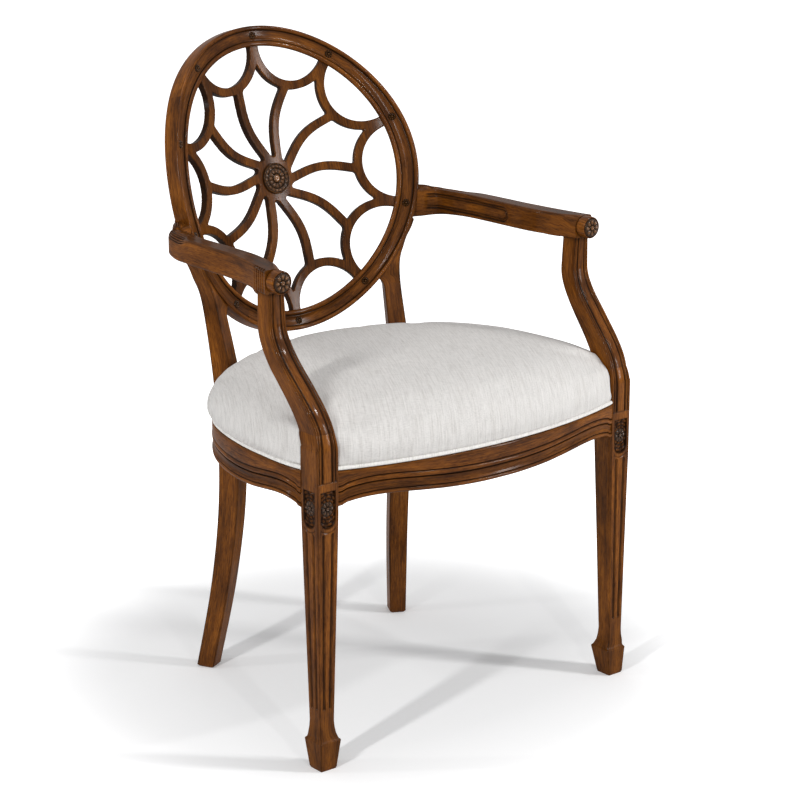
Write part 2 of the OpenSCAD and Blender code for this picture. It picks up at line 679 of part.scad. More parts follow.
// Lower edge of a rail of half length half, its middle at 0 and its lowest place at low
edge_shape = [[1.2, -0.1], [1, -0.1], [0.95, 0.45], [0.84, 0.95], [0.7, 1], [0.51, 0.6], [0.35, 0.25],
    [0.15, 0.02]];
function rail_edge(half, low) = curve([
    for (e = edge_shape) [-half * e.x, low + rail_rise * e.y], [0, low],
    for (e = reversed(edge_shape)) [half * e.x, low + rail_rise * e.y]], 3);
function raised(p, h) = [for (q = p) q + [0, h]];
function band(p, from, to) = [each raised(p, from), each reversed(raised(p, to))];

front_edge = rail_edge(block_in, rail_low);
bow_line = [for (i = [-16 : 16]) [block_in * i / 16, bow_at(block_in * i / 16)]];
module front_rail() color(wood) difference() {
    intersection() {
        plan(0, seat_h) polygon([for (p = bow_line) [p.x * (1 - fit_gap / block_in), p.y],
            for (p = reversed(bow_line)) [p.x * (1 - fit_gap / block_in), p.y + rail_t]]);
        front_view(-2 * leg_y, 0) polygon([each front_edge, [block_in + overrun, seat_h],
            [-block_in - overrun, seat_h]]);
    }
    intersection() {
        plan(0, seat_h) polygon([for (p = bow_line) [p.x * 1.1, p.y - 10], [block_in * 1.2, 0],
            for (p = reversed(bow_line)) [p.x * 1.1, p.y + mould_depth]]);
        front_view(-2 * leg_y, 0) polygon(band(front_edge, mould_h, mould_h + mould_w));
    }
    front_rail_dowels(true);
    block_screw_set(true);
}

side_half = (side_rear.y - block_back) / 2;
side_mid = (side_rear.y + block_back) / 2;
side_edge = [for (p = rail_edge(side_half, seat_h - side_rail_h)) [p.x + side_mid, p.y]];
side_run = [each side_line, side_rear + corner_step * [-cos(rear_turn), sin(rear_turn)]];
module side_rail() difference() {
    intersection() {
        plan(0, seat_h) polygon([each side_run, each reversed(beside(side_run, rail_t))]);
        side_view(0, 2 * leg_x) polygon([each side_edge, [side_mid + side_half + overrun, rail_low + 3],
            [side_mid + side_half + overrun, seat_h], [block_back - overrun, seat_h]]);
    }
    intersection() {
        plan(0, seat_h) polygon([each beside(side_run, -10), each reversed(beside(side_run, mould_depth))]);
        side_view(0, 2 * leg_x) polygon(band(side_edge, mould_h, mould_h + mould_w));
    }
    translate([0, block_front - overrun, 0])
        cube([2 * leg_x, block_d + fit_gap + overrun, 2 * seat_h]);
    rotate([0, 0, -rear_turn]) translate([rear_in - overrun, rear_front - overrun, 0])
        cube([rear_w + overrun + fit_gap, rear_d + 2 * overrun, 2 * seat_h]);
    side_rail_dowels(true);
    block_screw_set(true);
}
module right_rail() color(wood) side_rail();
module left_rail() color(wood) mirror([1, 0, 0]) side_rail();

module back_rail() color(dark_wood) difference() {
    plan(rail_low, seat_h) polygon([
        for (i = [-14 : 14]) back_rail_at(1.1 * rear_turn * i / 14),
        for (i = [14 : -1 : -14]) let (a = 1.1 * rear_turn * i / 14)
            back_rail_at(a) - rail_t * [sin(a), cos(a)]]);
    mirrored() rotate([0, 0, -rear_turn]) translate([rear_in - fit_gap, rear_front - overrun, 0])
        cube([rear_w + overrun, rear_d + 2 * overrun, 2 * seat_h]);
    back_rail_dowels(true);
    block_screw_set(true);
}

module rail_dowels() color(pale_wood) {
    front_rail_dowels();
    side_rail_dowels();
    back_rail_dowels();
}
module post_dowels() color(pale_wood) {
    block_dowels();
    arm_top_dowels();
}
module ring_dowels() color(pale_wood) seam_dowels();
module arm_dowels() color(pale_wood) {
    arm_end_dowels();
    rear_post_dowels();
}

// Inside the seat

// The space inside the rails, kept clear of them by gap
inner_bow = [for (i = [-12 : 12]) let (x = (block_in - 20) * i / 12) [x, bow_at(x) + rail_t]];
inner_side = beside(side_line, rail_t);
inner_back = [for (i = [-12 : 12]) let (a = 0.93 * rear_turn * i / 12)
    back_rail_at(a) - rail_t * [sin(a), cos(a)]];
module inside_rails(gap) offset(delta = -gap) difference() {
    polygon([each inner_bow, [block_in, bow_at(block_in) + rail_t], each inner_side, each reversed(inner_back),
        each flipped(inner_side), [-block_in, bow_at(block_in) + rail_t]]);
    mirrored() {
        translate([block_in, block_front]) square([block_w, block_d]);
        rotate(-rear_turn) translate([rear_in, rear_front]) square([rear_w, rear_d]);
    }
}

board_gap = 0.5;
board_top = seat_h;
board_low = board_top - board_t;
module seat_board() color(pale_wood) difference() {
    plan(board_low, board_top) inside_rails(board_gap);
    board_screw_set(true);
}

corner_low = board_low - corner_h;
front_corner = [block_in, block_back];
rear_corner = from_turned(rear_in, rear_front);
// The part of a corner that its block fills, away from the corner p towards the side dir of y
corner_flat = 10;
module corner_zone(p, dir) plan(0, seat_h) polygon([p + [overrun, -overrun * dir],
    p + [-corner_side, -overrun * dir], p + [-corner_side, -corner_flat * dir],
    p + [corner_flat, corner_side * dir], p + [overrun, corner_side * dir]]);
module corner_blocks() color(pale_wood) difference() {
    intersection() {
        plan(corner_low, board_low - fit_gap) inside_rails(fit_gap);
        mirrored() {
            corner_zone(front_corner, 1);
            corner_zone(rear_corner, -1);
        }
    }
    board_screw_set(true);
    block_screw_set(true);
}

// Screws: a shank, with a flat head at its start
module screw(p, v, length, cut) {
    rod(p, p + length * unit(v), screw_d + (cut ? 2 * fit_gap : 0), cut ? fit_gap : 0);
    rod(p - (cut ? overrun / 3 : 0) * unit(v), p + 2.5 * unit(v), 2 * screw_d + (cut ? 2 * fit_gap : 0),
        cut ? fit_gap : 0);
}
front_screw = front_corner + [-22, 4];
rear_screw = rear_corner + [2, -22];
module board_screw_set(cut = false) mirrored() for (p = [front_screw, rear_screw])
    screw([p.x, p.y, board_top], [0, 0, -1], board_t + 16, cut);
module board_screws() color(steel) board_screw_set();

// Screws from a corner block's long face into the rails, their heads sunk below that face
block_screw_z = corner_low + 9;
block_screw_l = 50;
sunk = 4;
module block_screw_set(cut = false) mirrored() {
    screw([front_corner.x - 30, front_corner.y + 18 - sunk, block_screw_z], [0, -1, 0], block_screw_l, cut);
    screw([front_corner.x - 18 + sunk, front_corner.y + 30, block_screw_z], [1, 0, 0], block_screw_l, cut);
    screw([rear_corner.x - 28, rear_corner.y - 20 + sunk, block_screw_z], [0, 1, 0], block_screw_l - 5, cut);
}
module block_screws() color(steel) block_screw_set();

cover_t = 0.8;
cover_top = corner_low - fit_gap;
module dust_cover() color(black_cloth) plan(cover_top - cover_t, cover_top) inside_rails(soft_gap);

// Upholstery

seat_loop = [each [for (i = [-9 : 9]) let (x = block_in * i / 9) [x, bow_at(x)]],
    [block_out, block_front + corner_step], each side_line,
    each [for (i = [4 : -1 : -4]) back_rail_at(rear_turn * i / 5)],
    each flipped(side_line), [-block_out, block_front + corner_step]];
function loop_way(p, i) = let (n = len(p)) unit(p[(i + 1) % n] - p[(i + n - 1) % n]);
middle_ahead = 40;
seat_middle = [0, -middle_ahead];
// Rows of the cushion from the rails up: outward bulge, share of the way out, share of the height
welt_in = welt_d + 1;
cushion_rows = [[-welt_in - 1, 1, 0], [-welt_in - 1, 1, (welt_d + soft_gap) / crown_h],
    [side_bulge * 0.7, 1, 0.15], [side_bulge, 1, 0.25], [side_bulge * 0.7, 1, 0.38], [-2, 1, 0.53],
    [-10, 1, 0.66], [-12, 0.94, 0.78], [-11, 0.82, 0.89], [-8, 0.62, 0.96], [-4, 0.35, 0.99]];
// Share of the way from the seat's middle to its rear edge
function rearward(y) = max(0, (y - seat_middle.y) / (back_rail_at(0).y - seat_middle.y));
function cushion_row(r) = [for (i = [0 : len(seat_loop) - 1])
    let (q = seat_loop[i] - r[0] * left_of(loop_way(seat_loop, i)), m = seat_middle + (q - seat_middle) * r[1])
    [m.x, m.y, seat_h + soft_gap + r[2] * (crown_h - rear_fall * rearward(m.y))]];
function ring_faces(n, from) = [for (i = [0 : n - 1]) each [
    [from + i, from + n + (i + 1) % n, from + (i + 1) % n], [from + i, from + n + i, from + n + (i + 1) % n]]];
module cushion_form() {
    n = len(seat_loop);
    rows = len(cushion_rows);
    polyhedron([[seat_middle.x, seat_middle.y, seat_h + soft_gap], for (r = cushion_rows) each cushion_row(r),
        [seat_middle.x, seat_middle.y, seat_h + soft_gap + crown_h]],
        [for (i = [0 : n - 1]) [0, 1 + i, 1 + (i + 1) % n],
        for (k = [0 : rows - 2]) each ring_faces(n, 1 + k * n),
        for (i = [0 : n - 1]) [1 + n * rows, 1 + n * (rows - 1) + (i + 1) % n, 1 + n * (rows - 1) + i]]);
}
// The upright legs and posts that the upholstery is cut round
module leg_cuts(gap) mirrored() {
    translate([block_in - gap, block_front - overrun, seat_h - overrun])
        cube([block_w + overrun, block_d + overrun + gap, 5 * crown_h]);
    rotate([0, 0, -rear_turn]) translate([rear_in - gap, rear_front - gap, seat_h - overrun])
        cube([rear_w + 2 * gap, 2 * rear_d, 5 * crown_h]);
}
// The space that the round back needs above the seat
module back_cut(gap) on_back() translate([0, ring_t + gap, 0]) rotate([90, 0, 0])
    cylinder(r = ring_r + gap, h = ring_t + gap - fan_near);
// The foot of the arm post, which leans back over the block
post_lean = post_back(seat_h + 0.8 * crown_h) - block_back;
module seat_cushion() color(linen) difference() {
    cushion_form();
    leg_cuts(soft_gap);
    back_cut(soft_gap);
    mirrored() translate([block_in - soft_gap, block_front, block_z - 2])
        cube([2 * block_w, block_d + post_lean + soft_gap, crown_h]);
}

// Where the welt lies: the seat's outline moved in by inset
function moved_in(inset) = [for (i = [0 : len(seat_loop) - 1])
    seat_loop[i] + inset * left_of(loop_way(seat_loop, i))];
module seat_welt() color(linen) difference() {
    plan(seat_h + fit_gap, seat_h + welt_d) difference() {
        polygon(moved_in(welt_in - welt_d));
        polygon(moved_in(welt_in));
    }
    leg_cuts(soft_gap);
    back_cut(soft_gap);
}

front_leg_left();
front_leg_right();
arm_post_left();
arm_post_right();
arm_left();
arm_right();
leg_rosettes();
arm_rosettes();
rear_leg_left();
rear_leg_right();
crest_rail();
back_ring_left();
back_ring_right();
lower_back_rail();
web_splat();
hub_medallion();
ring_rosettes();
front_rail();
left_rail();
right_rail();
back_rail();
corner_blocks();
block_screws();
seat_board();
board_screws();
seat_cushion();
seat_welt();
dust_cover();
rail_dowels();
post_dowels();
ring_dowels();
arm_dowels();
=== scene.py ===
import itertools
import math
import bpy
import numpy as np
from mathutils import Matrix, Vector


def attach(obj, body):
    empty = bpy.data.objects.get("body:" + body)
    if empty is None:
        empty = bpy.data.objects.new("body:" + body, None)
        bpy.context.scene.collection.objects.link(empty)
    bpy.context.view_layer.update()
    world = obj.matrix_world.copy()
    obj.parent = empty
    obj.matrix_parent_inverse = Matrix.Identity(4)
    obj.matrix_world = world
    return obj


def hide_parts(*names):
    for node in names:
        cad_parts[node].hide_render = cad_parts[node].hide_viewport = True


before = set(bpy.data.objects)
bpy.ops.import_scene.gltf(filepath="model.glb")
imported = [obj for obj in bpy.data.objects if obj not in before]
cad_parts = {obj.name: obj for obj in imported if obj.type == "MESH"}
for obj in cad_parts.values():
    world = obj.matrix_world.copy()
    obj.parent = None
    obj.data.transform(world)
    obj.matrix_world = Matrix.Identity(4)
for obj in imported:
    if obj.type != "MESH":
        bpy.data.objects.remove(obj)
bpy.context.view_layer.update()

# Sizes in millimetres, as in the solid model; pieces are scaled to metres when they are made
LEG_X, LEG_Y, BLOCK_W, BLOCK_D, BLOCK_TOP = 285.5, 250.0, 38.0, 40.0, 508.0
BLOCK_IN, BLOCK_OUT = LEG_X - BLOCK_W / 2, LEG_X + BLOCK_W / 2
BLOCK_FRONT, BLOCK_BACK = -LEG_Y - BLOCK_D / 2, -LEG_Y + BLOCK_D / 2
SEAT_H, RAIL_H, SIDE_H, RAIL_T, RISE = 452.0, 52.0, 55.0, 24.0, 9.0
BOW_R = 806.0
TURN, REAR_OUT, REAR_FRONT, REAR_W, REAR_D, INSET = 28.0, 104.0, 181.0, 32.5, 34.5, 14.0
HUB_Y, HUB_H, LEAN, HOLLOW = 233.0, 764.0, 14.6, 387.0
RING_R, HALF_W, RING_W, RING_T = 244.5, 229.5, 32.5, 24.0
SQ = HALF_W / RING_R
WEB_IN, WEB_T, WEB_R = 5.0, 12.0, RING_R - RING_W + 4.0
ARM_H, ARM_DROP, ARM_REAR, ARM_W, KNUCKLE_D = 730.0, 36.0, 49.0, 30.0, 34.0
KX = 296.5
ARM_UNDER = ARM_H - ARM_DROP
POST_FRONT0 = BLOCK_FRONT + 4.0
POST_TOP_FRONT = POST_FRONT0 + 101.0
POST_TOP_BACK = POST_TOP_FRONT + 29.0
KNUCKLE_FACE = POST_TOP_FRONT - 18.0
KNUCKLE_Z = ARM_H - KNUCKLE_D / 2 - 1.0
POST_X = KX - 3.0
CROWN, FALL, BULGE, WELT = 87.0, 8.0, 6.5, 6.0


def deg(a):
    return math.radians(a)


C, T = math.cos(deg(LEAN)), math.sin(deg(LEAN))
UP = np.array([0.0, 0.0, 1.0])


def curve(points, n=5):
    p = np.array(points, float)
    out = []
    for i in range(len(p) - 1):
        a, b, c, d = p[max(i - 1, 0)], p[i], p[i + 1], p[min(i + 2, len(p) - 1)]
        for j in range(n):
            t = j / n
            out.append(0.5 * (2 * b + (c - a) * t + (2 * a - 5 * b + 4 * c - d) * t * t
                              + (3 * b - a - 3 * c + d) * t ** 3))
    out.append(p[-1])
    return np.array(out)


def ease(t):
    s = np.clip(t, 0.0, 1.0)
    return s * s * (3 - 2 * s)


def run(p):
    d = np.linalg.norm(np.diff(p, axis=0), axis=1)
    return np.concatenate([[0.0], np.cumsum(d)])


def resample(p, n):
    p = np.array(p, float)
    r = run(p)
    t = np.linspace(0, r[-1], n)
    return np.stack([np.interp(t, r, p[:, k]) for k in range(p.shape[1])], 1)


def left_normals(p, closed=False):
    if closed:
        w = np.roll(p, -1, 0) - np.roll(p, 1, 0)
    else:
        w = np.gradient(p, axis=0)
    w = w / np.linalg.norm(w, axis=1, keepdims=True)
    return np.stack([-w[:, 1], w[:, 0]], 1)


# ---------------------------------------------------------------- materials
def put(nt, socket, value):
    """Links a value to a socket, or sets it there where it is a constant."""
    if hasattr(value, "links"):
        nt.links.new(value, socket)
    else:
        socket.default_value = value


def fill(nt, n, inputs):
    for k, v in inputs.items():
        put(nt, n.inputs[k], v)


def node(nt, kind, inputs=None, **settings):
    """A new shader node with its settings and inputs."""
    n = nt.nodes.new("ShaderNode" + kind)
    for k, v in settings.items():
        setattr(n, k, v)
    fill(nt, n, inputs or {})
    return n


def new_material(name):
    """A material, its node tree and its shader."""
    m = bpy.data.materials.new(name)
    m.use_nodes = True
    return m, m.node_tree, m.node_tree.nodes["Principled BSDF"]


def ramp(nt, stops, fac):
    r = node(nt, "ValToRGB", {0: fac})
    e = r.color_ramp.elements
    while len(e) < len(stops):
        e.new(0.5)
    for k, (pos, col) in enumerate(stops):
        e[k].position = pos
        e[k].color = (*col, 1.0)
    return r.outputs[0]


def mix(nt, a, b, fac, blend="MIX"):
    b = (*b, 1.0) if isinstance(b, tuple) else b
    return node(nt, "Mix", {0: fac, 6: a, 7: b}, data_type="RGBA", blend_type=blend).outputs[2]


def maths(nt, op, *values, clamp=False):
    return node(nt, "Math", dict(enumerate(values)), operation=op, use_clamp=clamp).outputs[0]


def noise(nt, source, scale, offset, detail, rough):
    """Noise with a rate of its own along each axis."""
    at = node(nt, "Mapping", {0: source, "Scale": scale, "Location": offset}).outputs[0]
    return node(nt, "TexNoise", {0: at, "Scale": 1.0, "Detail": detail, "Roughness": rough}).outputs[0]


def bump(nt, height, strength, distance):
    return node(nt, "Bump", {"Height": height, "Strength": strength, "Distance": distance}).outputs[0]


def wood_material(name, light, mid, dark, painted_shade, axis=None, rough=0.42, coat=0.18, gloss=0.02, relief=0.20):
    """Stained wood. The grain follows the grain UVs, or an axis of the object; the painted-shade attribute darkens it
    with painted shade and thins its coat.
    """
    m, nt, b = new_material(name)
    if axis is None:
        src = node(nt, "UVMap", uv_map="grain").outputs[0]
    else:
        turn = {"x": (0, 0, 0), "z": (0, deg(90), 0)}[axis]
        src = node(nt, "Mapping", {0: node(nt, "TexCoord").outputs["Object"], "Rotation": turn}).outputs[0]

    def grain(along, across, detail, fall, seed):
        return noise(nt, src, (along, across, across), (seed, seed * 1.7, seed * 0.6), detail, fall)

    broad = grain(5.0, 42.0, 3.0, 0.55, 0.0)
    fine = grain(22.0, 520.0, 5.0, 0.62, 3.1)
    pores = grain(90.0, 900.0, 2.0, 0.5, 7.7)
    cloud = grain(16.0, 34.0, 3.0, 0.6, 11.0)
    c = mix(nt, ramp(nt, [(0.30, dark), (0.50, mid), (0.72, light)], broad),
            ramp(nt, [(0.34, dark), (0.52, mid), (0.70, light)], fine), 0.45)
    c = mix(nt, c, ramp(nt, [(0.36, (0.50, 0.46, 0.44)), (0.60, (1.15, 1.15, 1.15))], cloud), 0.7, "MULTIPLY")
    c = mix(nt, c, ramp(nt, [(0.38, (0.25, 0.20, 0.18)), (0.50, (1, 1, 1))], pores), 0.55, "MULTIPLY")
    # painted shade: the attribute mixes the colour towards the near-black painted-shade colour and thins the coat where
    # shade is painted
    g = node(nt, "Attribute", attribute_name="painted_shade").outputs["Fac"]
    fill(nt, b, {
        "Base Color": mix(nt, c, painted_shade, maths(nt, "MULTIPLY", g, 0.93, clamp=True)),
        "Roughness": maths(nt, "MULTIPLY_ADD", fine, 0.16, rough - 0.06),
        "Specular IOR Level": gloss,
        "Coat Weight": ramp(nt, [(0.0, (coat,) * 3), (1.0, (coat * 0.15,) * 3)], g) if coat else 0.0,
        "Coat Roughness": 0.13,
        "Coat IOR": 1.5,
        "Normal": bump(nt, maths(nt, "ADD", fine, pores), relief, 0.0004)})
    return m


# the fourth colour of each wood is the near-black of its painted shade
WOOD = wood_material("stained_wood", (0.310, 0.103, 0.011), (0.150, 0.047, 0.006), (0.036, 0.012, 0.003),
                     (0.005, 0.003, 0.002))
CARVED = wood_material("carved_wood", (0.340, 0.130, 0.022), (0.200, 0.076, 0.014), (0.070, 0.028, 0.007),
                       (0.008, 0.005, 0.003), rough=0.30, coat=0.8, gloss=0.10, relief=0.5)
HIDDEN_X, HIDDEN_Z = (wood_material("inner_wood_" + k, (0.62, 0.44, 0.25), (0.50, 0.34, 0.18), (0.36, 0.23, 0.12),
                                    (0.3, 0.2, 0.1), axis=k, rough=0.6, coat=0.0, gloss=0.3) for k in "xz")


def linen_material(name, tone, scale=1.0):
    m, nt, b = new_material(name)
    src = node(nt, "TexCoord").outputs["Object"]

    def threads(rot, along, across, down, seed):
        """Fine streaks that run at rot degrees over the top; down is their rate up and down the sides."""
        turned = node(nt, "Mapping", {0: src, "Rotation": (0, 0, -deg(rot))}).outputs[0]
        return noise(nt, turned, (along * scale, across * scale, down * scale), (seed, seed, seed), 3.0, 0.6)

    warp = threads(62, 60.0, 900.0, 60.0, 1.0)
    weft = threads(152, 70.0, 900.0, 900.0, 4.0)
    slub = threads(62, 20.0, 420.0, 20.0, 9.0)
    cloud = threads(0, 9.0, 9.0, 9.0, 2.0)
    weave = maths(nt, "MULTIPLY", maths(nt, "ADD", warp, weft), 0.5)
    shade, shine = tuple(v * 0.86 for v in tone), tuple(min(1, v * 1.07) for v in tone)
    c = ramp(nt, [(0.38, shade), (0.5, tone), (0.62, shine)], weave)
    streaks = ramp(nt, [(0.36, (0.88, 0.87, 0.86)), (0.50, (1, 1, 1)), (0.66, (1.05, 1.05, 1.05))], slub)
    c = mix(nt, c, streaks, 0.75, "MULTIPLY")
    c = mix(nt, c, ramp(nt, [(0.3, (0.95, 0.95, 0.95)), (0.7, (1.02, 1.02, 1.02))], cloud), 0.6, "MULTIPLY")
    fill(nt, b, {"Base Color": c, "Roughness": 0.92, "Specular IOR Level": 0.15, "Sheen Weight": 0.10,
                 "Sheen Roughness": 0.5, "Normal": bump(nt, maths(nt, "ADD", weave, slub), 0.30, 0.0004)})
    return m


LINEN = linen_material("linen", (0.635, 0.616, 0.594))
WELT_CLOTH = linen_material("welt_linen", (0.76, 0.745, 0.715), 1.3)


def speckled(name, scale, detail, stops):
    """A material of two tones in fine noise: the material, its node tree, its shader and the noise."""
    m, nt, b = new_material(name)
    src = node(nt, "TexCoord").outputs["Object"]
    spots = node(nt, "TexNoise", {0: src, "Scale": scale, "Detail": detail}).outputs[0]
    put(nt, b.inputs["Base Color"], ramp(nt, stops, spots))
    return m, nt, b, spots


CLOTH, nt, b, spots = speckled("black_lining", 900.0, 2.0, [(0.4, (0.012, 0.012, 0.012)), (0.6, (0.035, 0.035, 0.036))])
fill(nt, b, {"Roughness": 0.95, "Normal": bump(nt, spots, 0.5, 0.0003)})
STEEL, nt, b, spots = speckled("screw_zinc", 700.0, 3.0, [(0.35, (0.42, 0.38, 0.28)), (0.65, (0.66, 0.62, 0.50))])
fill(nt, b, {"Roughness": ramp(nt, [(0.3, (0.25,) * 3), (0.7, (0.42,) * 3)], spots), "Metallic": 1.0})


# ---------------------------------------------------------------- meshes
SHARP = 38.0
piece_number = itertools.count(1)


def new_mesh(name, verts, faces):
    """A mesh from points in mm and faces of point numbers."""
    me = bpy.data.meshes.new(name)
    me.from_pydata([tuple(v) for v in np.asarray(verts, float) / 1000.0], [], [tuple(int(i) for i in f) for f in faces])
    me.update()
    return me


def points_of(me):
    co = np.empty(len(me.vertices) * 3)
    me.vertices.foreach_get("co", co)
    return co.reshape(-1, 3)


def set_points(me, co):
    me.vertices.foreach_set("co", np.ascontiguousarray(co).ravel())
    me.update()


def add(name, data):
    ob = bpy.data.objects.new(name, data)
    bpy.context.scene.collection.objects.link(ob)
    return ob


def declare(ob, slot, *replaces):
    """A piece's body and the solids it stands in for; slot is not used."""
    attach(ob, "root")
    if replaces:
        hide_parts(*replaces)
    return ob


def piece(name, verts, faces, uv, painted_shade, *replaces, material=WOOD, slot="mahogany", angle=SHARP, normals=None):
    """verts in mm; uv in mm for each corner of each face; painted shade 0 to 1 at each point."""
    me = new_mesh(name, verts, faces)
    shift = np.array([0.37, 0.61]) * next(piece_number)
    uv = np.asarray(uv, float).reshape(-1, 2) / 1000.0 + shift
    me.uv_layers.new(name="grain").data.foreach_set("uv", uv.ravel())
    me.attributes.new("painted_shade", "FLOAT", "POINT").data.foreach_set("value", np.clip(np.asarray(painted_shade, float), 0, 1))
    me.materials.append(material)
    me.polygons.foreach_set("use_smooth", [True] * len(me.polygons))
    if normals is not None:
        me.normals_split_custom_set_from_vertices([tuple(n) for n in normals])
    else:
        me.set_sharp_from_angle(angle=deg(angle))
    return declare(add(name, me), slot, *replaces)


def mirror_piece(ob, name, replaces):
    """The same piece on the chair's other side."""
    me = ob.data.copy()
    me.name = name
    set_points(me, points_of(me) * [-1, 1, 1])
    me.flip_normals()
    me.set_sharp_from_angle(angle=deg(SHARP))
    me.update()
    return declare(add(name, me), "mahogany", replaces)


def loft(sections, u=None, painted_shade=None):
    """Skins closed loops (n, m, 3) and closes both ends. Returns verts, faces, uv and the painted shade at each point.
    """
    s = np.asarray(sections, float)
    n, m, _ = s.shape
    g = np.zeros((n, m)) if painted_shade is None else np.asarray(painted_shade, float)
    u = run(s.mean(1)) if u is None else u
    around = np.linalg.norm(np.roll(s, -1, 1) - s, axis=2)
    v = np.concatenate([np.zeros((n, 1)), np.cumsum(around, 1)], 1).mean(0)
    faces, uv = [], []
    for i in range(n - 1):
        for j in range(m):
            k = (j + 1) % m
            faces.append((i * m + j, i * m + k, (i + 1) * m + k, (i + 1) * m + j))
            uv += [(u[i], v[j]), (u[i], v[j + 1]), (u[i + 1], v[j + 1]), (u[i + 1], v[j])]
    verts, g = list(s.reshape(-1, 3)), list(g.ravel())
    for end in (0, n - 1):
        c, mid = len(verts), s[end].mean(0)
        verts.append(mid)
        g.append(g[end * m])
        for j in range(m):
            a, b = end * m + j, end * m + (j + 1) % m
            tri = (b, a, c) if end == 0 else (a, b, c)
            faces.append(tri)
            for q in tri:
                p = verts[q] - mid
                uv.append((p[0] + p[2], p[1]))
    return np.array(verts), faces, uv, g


def rect_loop(x0, x1, y0, y1, r, ns, nc=4):
    """A rounded rectangle, anticlockwise from its front edge: points, side numbers (-1 at corners), places along
    each side, inward normals."""
    cx, cy = (x0 + x1) / 2, (y0 + y1) / 2
    runs = [((x0 + r, y0), (x1 - r, y0), (0, 1)), ((x1, y0 + r), (x1, y1 - r), (-1, 0)),
            ((x1 - r, y1), (x0 + r, y1), (0, -1)), ((x0, y1 - r), (x0, y0 + r), (1, 0))]
    corners = [(x1 - r, y0 + r, -90), (x1 - r, y1 - r, 0), (x0 + r, y1 - r, 90), (x0 + r, y0 + r, 180)]
    rows = []
    for k, ((ax, ay), (bx, by), inward) in enumerate(runs):
        for t in np.linspace(0, 1, ns[k]):
            x, y = ax + (bx - ax) * t, ay + (by - ay) * t
            rows.append((x, y, k, y - cy if k % 2 else x - cx, *inward))
        qx, qy, a0 = corners[k]
        for t in np.linspace(0, 1, nc + 2)[1:-1]:
            a = deg(a0 + 90 * t)
            rows.append((qx + r * math.cos(a), qy + r * math.sin(a), -1, 0.0, -math.cos(a), -math.sin(a)))
    a = np.array(rows, float)
    return a[:, :2], a[:, 2], a[:, 3], a[:, 4:]


MOULD = np.array([(0, 0.7), (0.6, 0.2), (1.7, 0), (2.9, 0.25), (3.7, 1.2), (4.3, 2.1), (5.0, 1.7), (6.0, 0.9),
                  (7.2, 0.9), (8.6, 1.5), (9.8, 2.5), (10.7, 3.0), (11.5, 2.3), (12.3, 0.9), (13.6, 0.35), (16, 0.1), (19, 0)])


def moulded(s, h):
    """Depth and painted shade of the moulding across a face of half width h: two edge beads and a raised middle strip,
    shaded where it is sunk.
    """
    k = h / 19.0
    depth = np.interp((h - np.abs(s)) / k, MOULD[:, 0], MOULD[:, 1]) * k
    return depth, np.clip((depth - 0.5) / 1.6, 0, 1) * 0.9


# ---- front legs
TABLET_Z, TABLET_TOP, TABLET_R, ROSETTE_Z = 383.0, 425.0, 13.0, 399.0
FLUTE_FOOT, FLUTE_TOP, FLUTE_R = 96.0, 360.0, 2.7
MOULD_Z = 437.0


def at_height(z, knots):
    k = np.array(knots, float)
    return np.interp(z, k[:, 0], k[:, 1])


def near_face(z, lip):
    """How far the leg's front or outer face lies inside the block's; the spade foot stands out by lip."""
    return at_height(z, [(0, 3.5 - lip), (3, 2.2 - lip * 0.9), (41.5, 0.25 - lip), (43, -lip), (44.4, 0.2 - lip),
                         (46, 2 - lip), (49, 2.6 - lip * 0.8), (55, 1.9 - lip * 0.3), (64, 2.6), (75, 3), (370, 0),
                         (508, 0)])


def far_face(z, size, lip):
    """How far the leg's back or inner face lies from the block's front or outer face."""
    return at_height(z, [(0, 30.5 - lip), (3, 31.2 - lip * 0.8), (41.5, 36.7), (43, 37), (44.4, 36.8), (46, 35),
                         (49, 33.6), (55, 31.2), (64, 29.8), (75, 29), (390, size), (508, size)])


def leg_relief(s, h, half, front):
    """Depth and painted shade at places s across the leg's front or outer face at height h."""
    # the tablet: square at its top, round below, with a rim and leaves round the rosette; painted shade on its sunk
    # ground, less on the rim and leaves, and a dark painted line along its edge
    dist = np.where(h < TABLET_Z, np.hypot(s, h - TABLET_Z) - TABLET_R,
                    np.maximum(np.abs(s) - TABLET_R, h - TABLET_TOP))
    sunk = ease(-dist / 1.2)
    r, turn = np.hypot(s, h - ROSETTE_Z), np.arctan2(h - ROSETTE_Z, s)
    rim = np.where((r > 11.0) & (r < 30), 0.5 + 0.5 * np.cos(2 * np.pi * (r - 12.6) / 5.6), 0.0)
    rim = rim * (1.0 + 0.7 * np.cos(11 * turn))
    leaf = 0.5 * np.where(r > 11.0, 0.5 + 0.5 * np.cos(15 * turn + 0.6 * r), 0.0)
    d = sunk * (3.0 - (rim + leaf) * ease(-dist / 2.2))
    g = sunk * np.clip(1.0 - 0.55 * np.clip(rim + leaf - 0.35, 0, 1), 0, 1) + 0.75 * np.exp(-(dist / 0.9) ** 2)
    # two stopped flutes, with painted shade in them
    if 90 < h < 368:
        c = np.interp(h, [95, 362], [5.2, 8.2])
        for sign in (-1, 1):
            q = np.hypot(s - sign * c, h - min(max(h, FLUTE_FOOT), FLUTE_TOP)) / FLUTE_R
            d += 2.2 * np.sqrt(np.clip(1 - q ** 2, 0, 1))
            g += 0.85 * np.clip(1.15 - q, 0, 1)
    # the line under the tablet's rim, cut in and with painted shade
    if h < TABLET_Z:
        line = np.exp(-((np.hypot(s, h - TABLET_Z) - 19.0) / 0.9) ** 2) * (np.abs(s) < 13)
        d += 0.9 * line
        g += 0.7 * line
    # the post's moulding begins on the block, with painted shade in its hollows and along the step where it begins
    if front and h > MOULD_Z - 0.5:
        f, step = ease((h - MOULD_Z) / 2.4), math.exp(-((h - MOULD_Z - 0.5) / 1.2) ** 2)
        depth, dark = moulded(s, half)
        d += f * depth + 0.8 * step
        g += f * dark + 0.6 * step
    return d, g


